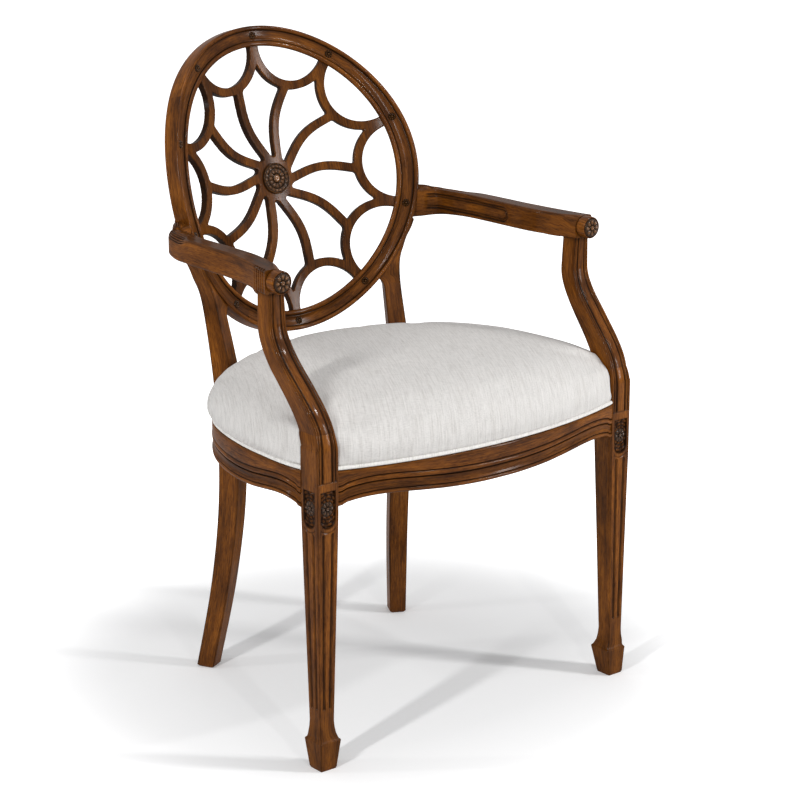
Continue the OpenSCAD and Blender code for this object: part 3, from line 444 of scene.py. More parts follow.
def front_leg():
    z = np.concatenate([np.linspace(0, 3, 3), np.linspace(8, 38, 4), np.linspace(41, 50, 16), np.linspace(52, 76, 10),
                        np.linspace(80, 92, 4), np.linspace(93, 99, 7), np.linspace(104, 350, 42),
                        np.linspace(352, 440, 89), np.linspace(442, 478, 10), np.linspace(480, 508, 18)])
    sections, painted_shades = [], []
    for h in z:
        neck = ease((h - 486.0) / 22.0)
        xo = BLOCK_OUT - near_face(h, 0.5)
        xi = BLOCK_OUT - far_face(h, BLOCK_W, 0.5) + 1.5 * neck
        yf = BLOCK_FRONT + near_face(h, 3.0) + 6.1 * max(0.0, (h - 478.0) / 30.0) ** 2
        yb = BLOCK_FRONT + far_face(h, BLOCK_D, 3.0) + 7.1 * neck
        if h >= 488:
            xo -= 1.0 + 2.6 * ((h - 488.0) / 20.0) ** 1.6
        p, side, s, inward = rect_loop(xi, xo, yf, yb, 1.6, (64, 56, 6, 6))
        d = np.zeros(len(p))
        # painted shade at the rounded corners; darker towards the foot
        g = 0.32 * (side == -1) + 0.30 * ease((84.0 - h) / 30.0)
        for k, half in ((0, (xo - xi) / 2), (1, (yb - yf) / 2)):
            on = side == k
            d[on], dark = leg_relief(s[on], h, half, k == 0)
            g[on] += dark
        sections.append(np.column_stack([p + inward * d[:, None], np.full(len(p), h)]))
        painted_shades.append(np.clip(g, 0, 1))
    return loft(sections, u=z, painted_shade=painted_shades)


leg = piece("leg_front_right", *front_leg(), "front_leg_right")
mirror_piece(leg, "leg_front_left", "front_leg_left")


# ---- arm posts
def post_front(z):
    return POST_FRONT0 + 101.0 * ease((z - BLOCK_TOP + 13) / 155)


def post_back(z):
    return BLOCK_BACK + 4 + (POST_TOP_BACK - BLOCK_BACK - 4) * ease((z - BLOCK_TOP + 18) / 157)


def arm_post():
    z = np.linspace(BLOCK_TOP - 0.5, ARM_UNDER + 2, 96)
    zl = [BLOCK_TOP, BLOCK_TOP + 60, BLOCK_TOP + 92, ARM_UNDER]
    inner = curve(list(zip([BLOCK_IN + 1.5, BLOCK_IN + 5, BLOCK_IN + 7.5, POST_X - 13.25], zl)), 8)
    outer = curve(list(zip([BLOCK_OUT - 3.6, BLOCK_OUT + 1.5, BLOCK_OUT + 3.5, POST_X + 13.25], zl)), 8)
    sections, painted_shades = [], []
    for h in z:
        x0, x1 = (np.interp(h, q[:, 1], q[:, 0]) for q in (inner, outer))
        p, side, s, inward = rect_loop(x0, x1, post_front(h), post_back(h), 1.6, (64, 6, 8, 6))
        on = side == 0
        slope = post_front(h + 0.5) - post_front(h - 0.5)
        d, g = np.zeros(len(p)), np.zeros(len(p))
        d[on], g[on] = moulded(s[on], (x1 - x0) / 2)
        d *= math.sqrt(1 + slope * slope)
        # painted shade at the rounded corners and under the arm, and a thin dark line at the joint with the block
        g += 0.4 * (side == -1) + 0.5 * math.exp(-((h - ARM_UNDER) / 5.0) ** 2)
        g += 0.15 * math.exp(-((h - BLOCK_TOP) / 1.2) ** 2)
        sections.append(np.column_stack([p + inward * d[:, None], np.full(len(p), h)]))
        painted_shades.append(g)
    return loft(sections, u=run(np.column_stack([post_front(z), z])), painted_shade=painted_shades)


post = piece("arm_post_front_right", *arm_post(), "arm_post_right")
mirror_piece(post, "arm_post_front_left", "arm_post_left")


# ---- round back
def lean_back(v):
    """Turns directions of the upright back into the leaning one's."""
    v = np.asarray(v, float)
    return np.stack([v[..., 0], v[..., 1] * C + v[..., 2] * T, v[..., 2] * C - v[..., 1] * T], -1)


def on_hollow(x, w, d):
    """The point x across and w up the hollow back, d behind its front face."""
    x, w, d = np.broadcast_arrays(np.asarray(x, float), np.asarray(w, float), np.asarray(d, float))
    k = (HOLLOW + d) / HOLLOW
    return lean_back(np.stack([k * x, k * np.sqrt(HOLLOW ** 2 - x * x) - HOLLOW, w], -1)) + [0, HUB_Y, HUB_H]


def hollow_frame(x):
    """Directions across and behind the hollow at x, before it leans."""
    b = np.arcsin(np.asarray(x, float) / HOLLOW)
    zero = np.zeros_like(b)
    return np.stack([np.cos(b), -np.sin(b), zero], -1), np.stack([np.sin(b), np.cos(b), zero], -1)


def ring_point(a, r, d):
    a = np.radians(a)
    return on_hollow(SQ * r * np.sin(a), r * np.cos(a), d)


def ring_angle(z):
    """Where the ring's widest edge is at height z, in degrees from its top."""
    t = math.sqrt(HOLLOW ** 2 - HALF_W ** 2) - HOLLOW
    return math.degrees(math.acos((z - HUB_H + t * T) / C / RING_R))


# the ring's section: radius and depth, with the painted shade at each point, darkest in the channel and the quirks
# beside the beads
PROFILE = [(212.0, 5.2), (212.0, 3.4), (212.35, 2.0), (213.1, 0.95), (214.3, 0.25), (215.8, 0.0), (217.3, 0.2),
           (218.6, 0.85), (219.5, 1.9), (219.9, 3.0), (220.1, 3.9), (220.9, 3.5), (222.2, 3.3), (223.3, 3.9),
           (224.2, 4.4), (227.0, 4.75), (230.0, 4.8), (233.2, 4.6), (235.4, 4.2), (236.6, 4.3), (237.3, 4.4),
           (237.6, 3.2), (238.0, 1.8), (238.9, 0.7), (240.1, 0.12), (241.4, 0.0), (242.7, 0.25), (243.7, 0.95),
           (244.3, 2.1), (244.5, 3.6), (244.5, 8.0), (244.5, 14.0), (244.5, 20.0), (244.2, 21.6), (243.4, 22.9),
           (242.2, 23.7), (240.8, 24.0), (234.0, 24.0), (226.0, 24.0), (219.0, 24.0), (217.2, 23.6),
           (216.3, 22.6), (216.1, 21.0), (216.1, 12.0), (216.1, 5.4)]
RING_SHADE = [0.7, 0.5, 0.2, 0.0, 0.0, 0.0, 0.0, 0.1, 0.5, 0.9, 1.0, 0.7, 0.35, 0.45, 0.35, 0.22, 0.2, 0.22, 0.4, 0.75,
       1.0, 0.9, 0.45, 0.1, 0.0, 0.0, 0.0, 0.0, 0.0, 0.0, 0.0, 0.0, 0.0, 0.0, 0.0, 0.0, 0.0, 0.0, 0.0, 0.0, 0.1,
       0.2, 0.3, 0.6, 0.8]


def ring_part(a0, a1):
    angles = np.linspace(a0, a1, int(abs(a1 - a0) / 1.5) + 2)
    pr = np.array(PROFILE)
    s = [ring_point(a, pr[:, 0], pr[:, 1]) for a in angles]
    return loft(s, u=np.radians(angles) * 228.0, painted_shade=[RING_SHADE] * len(angles))


for name, a0, a1, cad in (("ring_crest", -54, 54, "crest_rail"), ("ring_right", 54, 152, "back_ring_right"),
                          ("ring_low", 152, 208, "lower_back_rail"), ("ring_left", 208, 306, "back_ring_left")):
    piece(name, *ring_part(a0, a1), cad)


# ---- pierced web
SPOKE_W, SWAY, HUB_R, SC_R, SC_BAND, SC_REACH = 14.0, 9.0, 35.0, 60.0, 14.0, 222.0
SWAY_FROM, SWAY_TO = HUB_R + 12, SC_REACH - SC_R - SC_BAND - 6
EDGE_FRONT, EDGE_BACK = 1.3, 1.1


def smax(a, b, k):
    """The larger of two fields, blended over k."""
    h = np.clip(0.5 + 0.5 * (a - b) / k, 0, 1)
    return b + (a - b) * h + k * h * (1 - h)


def in_wood(X, W):
    """Distance into the wood from the nearest pierced edge."""
    r = np.hypot(X, W)
    s = HUB_R - r
    for i in range(10):
        a = deg(36 * i + 18)
        along, aside = X * math.sin(a) + W * math.cos(a), X * math.cos(a) - W * math.sin(a)
        ph = np.clip(np.pi * (along - SWAY_FROM) / (SWAY_TO - SWAY_FROM), -0.7, np.pi + 0.35)
        slope = SWAY * np.cos(ph) * np.pi / (SWAY_TO - SWAY_FROM)
        spoke = SPOKE_W / 2 - np.abs(aside + SWAY * np.sin(ph)) / np.sqrt(1 + slope * slope)
        s = smax(s, np.where((along > 20) & (along < SC_REACH - SC_R - 4), spoke, -60.0), 5.0)
    near = np.full_like(r, 1e9)
    for i in range(10):
        a = deg(36 * i + 18)
        reach = np.hypot(X - SC_REACH * math.sin(a), W - SC_REACH * math.cos(a))
        s = smax(s, SC_R + SC_BAND - reach, 4.0)
        near = np.minimum(near, reach - SC_R)
    return -smax(-np.maximum(s, r - 192.0), -near, 2.5)


def web_field(X, W):
    """The same, inside the web's own round outline."""
    return np.minimum(in_wood(X, W), WEB_R - np.hypot(X, W))


def web():
    """Cuts the panel out of a square grid. Returns verts, faces, uv, painted shade, normals."""
    cell = 1.5
    m = int(2 * (WEB_R + 4) / cell)
    ax = (np.arange(m + 1) - m / 2) * cell
    f = web_field(*np.meshgrid(ax, ax, indexing="ij"))
    ids, pts = {}, []

    def point(key, x, w):
        if key not in ids:
            ids[key] = len(pts)
            pts.append((x, w))
        return ids[key]

    def cross(i0, j0, i1, j1):
        t = f[i0, j0] / (f[i0, j0] - f[i1, j1])
        return point((min(i0, i1), min(j0, j1), 1 if i0 != i1 else 2),
                     ax[i0] + (ax[i1] - ax[i0]) * t, ax[j0] + (ax[j1] - ax[j0]) * t)

    polys, edges = [], []
    for i in range(m):
        for j in range(m):
            c = [(i, j), (i + 1, j), (i + 1, j + 1), (i, j + 1)]
            on = [bool(f[q] > 0) for q in c]
            if not any(on):
                continue
            poly, cuts = [], []
            for k in range(4):
                a, b = c[k], c[(k + 1) % 4]
                if on[k]:
                    poly.append(point((*a, 0), ax[a[0]], ax[a[1]]))
                if on[k] != on[(k + 1) % 4]:
                    poly.append(cross(*a, *b))
                    cuts.append((poly[-1], on[k]))
            if len(poly) >= 3:
                polys.append(poly)
            for (q0, leaving), (q1, _) in zip(cuts[::2], cuts[1::2]):
                edges.append((q0, q1) if leaving else (q1, q0))
    P = np.array(pts)

    def rounded(P, R):
        """How far the face falls back beside an edge rounded to R."""
        s = np.clip(in_wood(P[:, 0], P[:, 1]), 0, R)
        return R - np.sqrt(np.clip(R * R - (R - s) ** 2, 0, None))

    def face_normals(R, sign, e=0.25):
        gx, gw = (np.clip((rounded(P + d, R) - rounded(P - d, R)) / (2 * e), -2.5, 2.5) for d in ([e, 0], [0, e]))
        across, behind = hollow_frame(SQ * P[:, 0])
        n = -sign * behind + gx[:, None] * across + gw[:, None] * UP
        return lean_back(n / np.linalg.norm(n, axis=1, keepdims=True))

    front = on_hollow(SQ * P[:, 0], P[:, 1], WEB_IN + rounded(P, EDGE_FRONT))
    back = on_hollow(SQ * P[:, 0], P[:, 1], WEB_IN + WEB_T - rounded(P, EDGE_BACK))
    # walls between the two faces, with points of their own so that the edge stays crisp
    wall = sorted({q for e in edges for q in e})
    number = {q: k for k, q in enumerate(wall)}
    wP, n, nw = P[wall], len(P), len(wall)
    faces = [tuple(p) for p in polys] + [tuple(n + q for q in reversed(p)) for p in polys]
    for a, b in edges:
        i0, i1 = 2 * n + number[a], 2 * n + number[b]
        faces.append((i1, i0, nw + i0, nw + i1))
    gx, gw = (web_field(*(wP + d).T) - web_field(*(wP - d).T) for d in ([0.4, 0], [0, 0.4]))
    wn = -(gx[:, None] * hollow_frame(SQ * wP[:, 0])[0] + gw[:, None] * UP)
    wn = lean_back(wn / np.maximum(np.linalg.norm(wn, axis=1, keepdims=True), 1e-9))
    # painted shade on the front face beside the pierced edges, and dark painted shade on the walls of the piercings
    from_edge = np.clip(in_wood(P[:, 0], P[:, 1]), 0, EDGE_FRONT)
    painted_shade = np.concatenate([0.6 * np.clip(1 - from_edge / 2.6, 0, 1), np.zeros(n), np.full(2 * nw, 0.88)])
    # grain runs up the back, bent a little round the hub
    at = np.concatenate([P, P, wP, wP + [3, 3]])
    at = at[:, ::-1] + np.hypot(at[:, 0], at[:, 1])[:, None] * [0.12, 0.10]
    uv = at[[q for fc in faces for q in fc]]
    return (np.concatenate([front, back, front[wall], back[wall]]), faces, uv, painted_shade,
            np.concatenate([face_normals(EDGE_FRONT, 1), face_normals(EDGE_BACK, -1), wn, wn]))


*panel, panel_normals = web()
piece("pierced_web", *panel, "web_splat", normals=panel_normals)


# ---- carved flowers
def disc(radius, height, nr, na):
    """A round relief: height(r, angle) in mm over a disc. Returns verts (x, y across, z out), faces, heights."""
    R, A = np.meshgrid([*(np.linspace(0, 1, nr) ** 0.9 * radius), radius],
                       np.linspace(0, 2 * np.pi, na, endpoint=False), indexing="ij")
    H = height(R, A)
    H[-1] = 0.0
    Z = H.copy()
    Z[-1] = -1.0
    faces = []
    for i, j in itertools.product(range(nr), range(na)):
        k = (j + 1) % na
        faces.append((i * na + j, (i + 1) * na + j, (i + 1) * na + k, i * na + k))
    return np.stack([R * np.cos(A), R * np.sin(A), Z], -1).reshape(-1, 3), faces, H.ravel()


def flower(h, radius, petals=8):
    def height(R, A):
        q = R / radius
        scallop = 0.5 + 0.5 * np.cos(petals * A)
        petal = np.sin(np.clip((q - 0.26) / 0.74, 0, 1) * np.pi) ** 0.6
        vein = 0.12 * np.cos(3 * petals * A)
        out = (0.30 + 0.70 * scallop ** 0.5 + vein * scallop) * petal * 0.78
        edge = np.clip((1.0 - q) / 0.10, 0, 1)
        out = out * (0.35 + 0.65 * edge)
        button = np.sqrt(np.clip(1 - (q / 0.27) ** 2, 0, 1)) - 0.35 * np.exp(-(q / 0.08) ** 2)
        return h * np.maximum(out, button * (q < 0.27))
    return height


MEDAL_R, MEDAL_GROUND = 25.0, 2.4


def medallion(R, A):
    q = R / MEDAL_R
    outer = np.where(q > 0.66, (0.55 + 0.45 * np.abs(np.cos(9 * A)) ** 0.7)
                     * np.sin(np.clip((q - 0.64) / 0.28, 0, 1) * np.pi) ** 0.6, 0)
    rim = np.exp(-((q - 0.95) / 0.04) ** 2) * 0.85
    inner = np.where((q > 0.30) & (q <= 0.68), (0.40 + 0.60 * np.abs(np.cos(6 * A + 0.5)) ** 0.6)
                     * np.sin(np.clip((q - 0.28) / 0.38, 0, 1) * np.pi) ** 0.6, 0)
    boss = np.sqrt(np.clip(1 - (q / 0.28) ** 2, 0, 1)) * 1.15 - 0.3 * np.exp(-(q / 0.07) ** 2)
    fine = 0.10 * np.sin(1.9 * R + 2.5 * np.sin(5 * A)) * np.sin(16 * A + 0.8 * R) * (q > 0.15) * (q < 0.9)
    return MEDAL_GROUND + 3.4 * (np.maximum.reduce([outer * 0.8, rim, inner * 0.9, boss * (q < 0.28)]) + fine)


def carved(name, cad, relief, places, full, deep=1.0, ground=0.0):
    """The relief at each place, with painted shade in its hollows. full is the height above ground that stays free of
    painted shade.
    """
    base, faces, h = relief
    painted_shade = np.interp((h - ground) / full, [0, 0.45, 0.80, 0.93, 1.04], [1, 0.95, 0.66 * deep, 0.35 * deep, 0])
    V, F, UV = [], [], []
    for *axes, at in places:
        F += [tuple(len(V) * len(base) + q for q in fc) for fc in faces]
        UV += [tuple(base[q][:2]) for fc in faces for q in fc]
        V.append(base @ np.array(axes, float) + np.array(at, float))
    return piece(name, np.concatenate(V), F, UV, np.tile(painted_shade, len(V)), cad, material=CARVED, slot="carved_wood",
                 angle=70)


SIDES = (1, -1)
CHANNEL_MID = 229.25
X_DIR, Z_DIR, TO_FRONT, UP_BACK = (1, 0, 0), (0, 0, 1), (0, -1, 0), (0, T, C)
carved("medallion", "hub_medallion", disc(MEDAL_R, medallion, 60, 216),
       [(X_DIR, UP_BACK, (0, -C, T), on_hollow(0, 0, WEB_IN) + [0, 0.2, 0])], 3.2, 0.9, MEDAL_GROUND)

places = []
for a in np.radians(36.0 * np.arange(10)):
    x = SQ * CHANNEL_MID * math.sin(a)
    across, behind = hollow_frame(x)
    places.append((lean_back(across), UP_BACK, lean_back(-behind), on_hollow(x, CHANNEL_MID * math.cos(a), 4.6)))
carved("rosettes_ring", "ring_rosettes", disc(6.25, flower(3.6, 6.25), 16, 96), places, 3.4)

places = []
for s in SIDES:
    places.append((X_DIR, Z_DIR, TO_FRONT, (s * LEG_X, BLOCK_FRONT + 3.1, ROSETTE_Z)))
    places.append(((0, s, 0), Z_DIR, (s, 0, 0), (s * (BLOCK_OUT - 3.1), -LEG_Y, ROSETTE_Z)))
carved("rosettes_leg", "leg_rosettes", disc(11.4, flower(3.3, 11.4), 30, 144), places, 3.0)

carved("rosettes_arm", "arm_rosettes", disc(14.0, flower(4.0, 14.0), 40, 144),
       [(X_DIR, Z_DIR, TO_FRONT, (s * KX, KNUCKLE_FACE + 0.3, KNUCKLE_Z)) for s in SIDES], 3.8, 0.45)


# ---- rear legs
TURN_C, TURN_S = math.cos(deg(TURN)), math.sin(deg(TURN))


def to_turned(p):
    return np.array([p[0] * TURN_C - p[1] * TURN_S, p[0] * TURN_S + p[1] * TURN_C, p[2]])


def from_turned(u, v):
    return np.stack([u * TURN_C + v * TURN_S, v * TURN_C - u * TURN_S], -1)


def evaluated(ob):
    """The object's mesh as its modifiers leave it."""
    dg = bpy.context.evaluated_depsgraph_get()
    return bpy.data.meshes.new_from_object(ob.evaluated_get(dg), preserve_all_data_layers=True, depsgraph=dg)


def apply_modifiers(ob):
    me = evaluated(ob)
    ob.modifiers.clear()
    ob.data = me


def ring_plug(r, d0, d1, n=144):
    """A solid of the round back's outline, from depth d0 to d1."""
    a = np.linspace(0, 360, n, endpoint=False)
    verts = [ring_point(q, r, d) for d in (d0, d1) for q in a] + [on_hollow(0, 0, d - 30.0) for d in (d0, d1)]
    faces = []
    for i in range(n):
        k = (i + 1) % n
        faces += [(i, k, n + k, n + i), (k, i, 2 * n), (n + i, n + k, 2 * n + 1)]
    return add("plug", new_mesh("plug", verts, faces))


def rear_leg():
    ph, pm = (to_turned(ring_point(ring_angle(HUB_H - d), RING_R, 0)) for d in (62, 112))
    pn = to_turned(ring_point(ring_angle(HUB_H - 87), RING_R, 0))
    out, front, back = REAR_OUT + 1, REAR_FRONT + 47.0, REAR_FRONT + REAR_D
    rin = REAR_OUT - REAR_W
    inside = pm[0] - 26
    lo = curve([(out, 3), (REAR_OUT - 2, 150), (REAR_OUT - 1.5, 300), (REAR_OUT, SEAT_H), (pm[0] - 6, pm[2] - 50),
                (pm[0] + 4, pm[2]), (pn[0] + 4, pn[2]), (ph[0] + 4, ph[2])], 8)
    li = curve([(out - 27.5, 3), (rin - 1, 150), (rin - 1.5, 300), (rin, SEAT_H), (inside - 6, pm[2] - 84),
                (inside - 8, pm[2] - 66), (inside - 14, pm[2] - 57), (inside - 24, pm[2] - 53),
                (inside - 45, pm[2] - 50)], 8)
    lf = curve([(front, 3), (REAR_FRONT + 17.4, 150), (REAR_FRONT - 2, 300), (REAR_FRONT, SEAT_H),
                (pm[1] - 8, pm[2] - 50), (pm[1] + 4, pm[2]), (ph[1] + 2, ph[2])], 8)
    lb = curve([(front + 30, 3), (back + 14.1, 150), (back - 2, 300), (back, SEAT_H), (pm[1] + 18, pm[2] - 50),
                (pm[1] + 30, pm[2]), (ph[1] + 28, ph[2])], 8)
    top = ARM_H - ARM_REAR + 1.9
    z = np.concatenate([np.linspace(0, 3, 4), np.linspace(8, 555, 100), np.linspace(556, 600, 50),
                        np.linspace(602, top, 40)])
    sections = []
    for h in z:
        x0, x1, y0, y1 = (np.interp(h, q[:, 1], q[:, 0]) for q in (li, lo, lf, lb))
        ch = max(0.0, 3.0 - h)
        p, side, _, _ = rect_loop(x0 + ch, x1 - ch, y0 + ch, y1 - ch, 2.6, (14, 10, 14, 10))
        sections.append(np.column_stack([from_turned(p[:, 0], p[:, 1]), np.full(len(p), h)]))
    # painted shade at the rounded corners, under the arm at the top and where the leg widens to meet the ring
    shade_amounts = np.array([0.4 * (side == -1) + 0.55 * math.exp(-((h - top) / 9) ** 2)
                    + 0.35 * math.exp(-((h - 598) / 10) ** 2) for h in z])
    return loft(sections, u=z, painted_shade=shade_amounts)


def cope(ob, r, d0, d1):
    """Cuts the round back's outline out of a piece that meets it."""
    plug = ring_plug(r, d0, d1)
    mod = ob.modifiers.new("cope", "BOOLEAN")
    mod.operation, mod.solver, mod.object = "DIFFERENCE", "EXACT", plug
    apply_modifiers(ob)
    bpy.data.objects.remove(plug)
    ob.data.set_sharp_from_angle(angle=deg(SHARP))


rear = piece("leg_rear_right", *rear_leg())
cope(rear, RING_R - 4.0, -60.0, 70.0)
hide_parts("rear_leg_right")
mirror_piece(rear, "leg_rear_left", "rear_leg_left")


# ---- seat rails
def edge_line(half, low):
    """A rail's lower edge from one end to the other: places along it and heights."""
    e = [(1.2, -0.1), (1, -0.1), (0.95, 0.45), (0.84, 0.95), (0.7, 1), (0.51, 0.6), (0.35, 0.25), (0.15, 0.02)]
    both = [(-x, y) for x, y in e] + [(0, 0)] + e[::-1]
    return curve([(half * x, low + RISE * y) for x, y in both], 6)


# the moulding at a rail's lower edge: height above the edge and how far out, with the painted shade at each point,
# deepest in the grooves
RAIL = [(31.2, -0.5), (30.5, -0.8), (30.0, -2.0), (29.3, -2.3), (28.6, -1.7), (27.8, -0.8), (26.6, -0.2), (25.2, 0.0),
        (23.8, -0.15), (22.7, -0.6), (22.0, -1.3), (21.5, -2.4), (20.8, -2.9), (20.1, -2.4), (19.5, -1.3), (18.6, -1.2),
        (16.5, -1.9), (13.8, -2.2), (11.0, -1.9), (9.2, -1.2), (8.2, -0.9), (7.6, -1.6), (7.1, -2.6), (6.5, -2.4),
        (5.9, -1.2), (5.0, -0.4), (3.8, 0.0), (2.4, -0.2), (1.1, -1.0), (0.3, -2.2), (0.0, -3.6)]
RAIL_SHADE = [0.0, 0.3, 0.9, 1.0, 0.7, 0.2, 0.0, 0.0, 0.0, 0.1, 0.5, 0.95, 1.0, 0.9, 0.4, 0.2, 0.3, 0.35, 0.3, 0.2, 0.3,
          0.8, 1.0, 0.9, 0.4, 0.1, 0.0, 0.1, 0.2, 0.3, 0.4]


def rail(points, normals, low):
    """points (n, 2) of the outer face, outward normals, and the lower edge's height at each."""
    top = SEAT_H - 1.6
    sections = []
    for p, n, zl in zip(points, normals, low):
        prof = [(SEAT_H, -RAIL_T), (SEAT_H, -18.0), (SEAT_H, -10.0), (SEAT_H, -2.6), (SEAT_H - 0.5, -1.2), (top, -0.6)]
        prof += [(top - (top - zl - 31.2) * t, -0.5) for t in (0.25, 0.5, 0.75)]
        prof += [(zl + h, o) for h, o in RAIL]
        prof += [(zl, -12.0), (zl, -RAIL_T + 1.5), (zl + 1.2, -RAIL_T), (zl + 20.0, -RAIL_T)]
        sections.append([(p[0] + n[0] * o, p[1] + n[1] * o, z) for z, o in prof])
    # painted shade on the top under the welt, in the moulding's grooves, and on the underside and back
    shade_amounts = [0, 0, 0.3, 0.5, 0.3, 0.1, 0, 0, 0, *RAIL_SHADE, 0.3, 0.3, 0.2, 0.1]
    return loft(sections, u=run(np.asarray(points)), painted_shade=[shade_amounts] * len(sections))


bow_y = BLOCK_FRONT + math.sqrt(BOW_R ** 2 - BLOCK_IN ** 2)


def bow_at(x):
    return bow_y - np.sqrt(BOW_R ** 2 - x ** 2)


xs = np.linspace(-BLOCK_IN - 1.5, BLOCK_IN + 1.5, 150)
bow = np.column_stack([xs, bow_at(xs)])
bow_normals = (bow - [0, bow_y]) / BOW_R
front_edge = edge_line(BLOCK_IN, SEAT_H - RAIL_H)
piece("rail_front", *rail(bow, bow_normals, np.interp(xs, front_edge[:, 0], front_edge[:, 1])), "front_rail", angle=50)

side_front = np.array([BLOCK_OUT + 1.5, BLOCK_BACK - 2])
side_rear = from_turned(np.array(REAR_OUT), np.array(REAR_FRONT + REAR_D - INSET))
shape = [(1, 0), (1.03, 0.06), (1.04, 0.14), (1.03, 0.24), (1.01, 0.34), (0.96, 0.46), (0.875, 0.585), (0.74, 0.715),
         (0.53, 0.83), (0.28, 0.92), (0, 1)]
SIDE_LINE = curve([(side_rear[0] + (side_front[0] - side_rear[0]) * a,
                    side_front[1] + (side_rear[1] - side_front[1]) * b) for a, b in shape], 10)
side_line = resample(np.vstack([SIDE_LINE, side_rear + 3.0 * np.array([-TURN_C, TURN_S])]), 130)
side_normals = -left_normals(side_line)
half, mid = (side_rear[1] - BLOCK_BACK) / 2, (side_rear[1] + BLOCK_BACK) / 2
side_edge = edge_line(half, SEAT_H - SIDE_H)
side = piece("rail_right", *rail(side_line, side_normals,
                                 np.interp(side_line[:, 1] - mid, side_edge[:, 0], side_edge[:, 1])),
             "right_rail", angle=50)
mirror_piece(side, "rail_left", "left_rail")

start = from_turned(np.array(REAR_OUT - REAR_W), np.array(REAR_FRONT + REAR_D - INSET))
back_r = start[0] / TURN_S
back_mid = start[1] - back_r * TURN_C


def back_arc(angles, inset=0.0):
    """Points on the back rail's outer face, or inset inside it."""
    return np.column_stack([(back_r - inset) * np.sin(angles), back_mid + (back_r - inset) * np.cos(angles)])


ang = np.radians(np.linspace(-TURN - 0.6, TURN + 0.6, 60))
prof = rect_loop(-RAIL_T, 0.0, SEAT_H - RAIL_H, SEAT_H, 2.0, (8, 14, 8, 14), 3)[0]
sections = [np.column_stack([back_arc(a, -prof[:, 0]), prof[:, 1]]) for a in ang]
piece("rail_back", *loft(sections, u=back_r * ang), "back_rail")


# ---- arms
A_END, A_TAIL = (ring_point(ring_angle(ARM_H), RING_R, d) for d in (0, RING_T))
SHAPE = [(1, 0.055, 1), (0.84, 0.21, 1), (0.76, 0.31, 1), (0.72, 0.42, 0.5), (0.71, 0.53, 0.25), (0.7, 0.63, 0),
         (0.68, 0.74, -0.4), (0.62, 0.85, -0.5), (0.52, 0.955, -1)]
FAN = (268.0, 72.0)
# where along the arm its tail's outer edge widens, the flutes begin, the lower corner lifts and the top swells
TAIL_WIDE, TAIL_CUT, TAIL_LOW, TAIL_SWELL = 58.0, 74.0, 94.0, 132.0
FLUTE_CUT, TAIL_RISE, TAIL_LIFT = 1.5, 5.5, 17.0
REED, REED_DEPTH, REEDS_FROM, REEDS_TO = 7.4, 1.7, 3.0, 36.0
# sides of the arm's section, and the painted shade on each: on the top and its rounded edges and at the lower corners
UNDER, OUTER, TOP, INNER, TOP_IN, TOP_OUT, LOWER = range(7)
SIDE_SHADE = np.array([0.0, 0.0, 0.50, 0.0, 0.3, 0.45, 0.45])


def arm_place(s, side):
    return (A_END[0] + (KX - A_END[0]) * s[0] + side * (ARM_W + (KNUCKLE_D - ARM_W) * s[2]) / 2,
            KNUCKLE_FACE + (A_END[1] - KNUCKLE_FACE) * s[1])


def arc(cx, cy, r, angles):
    a = np.radians(angles)
    return np.column_stack([cx + r * np.cos(a), cy + r * np.sin(a)])


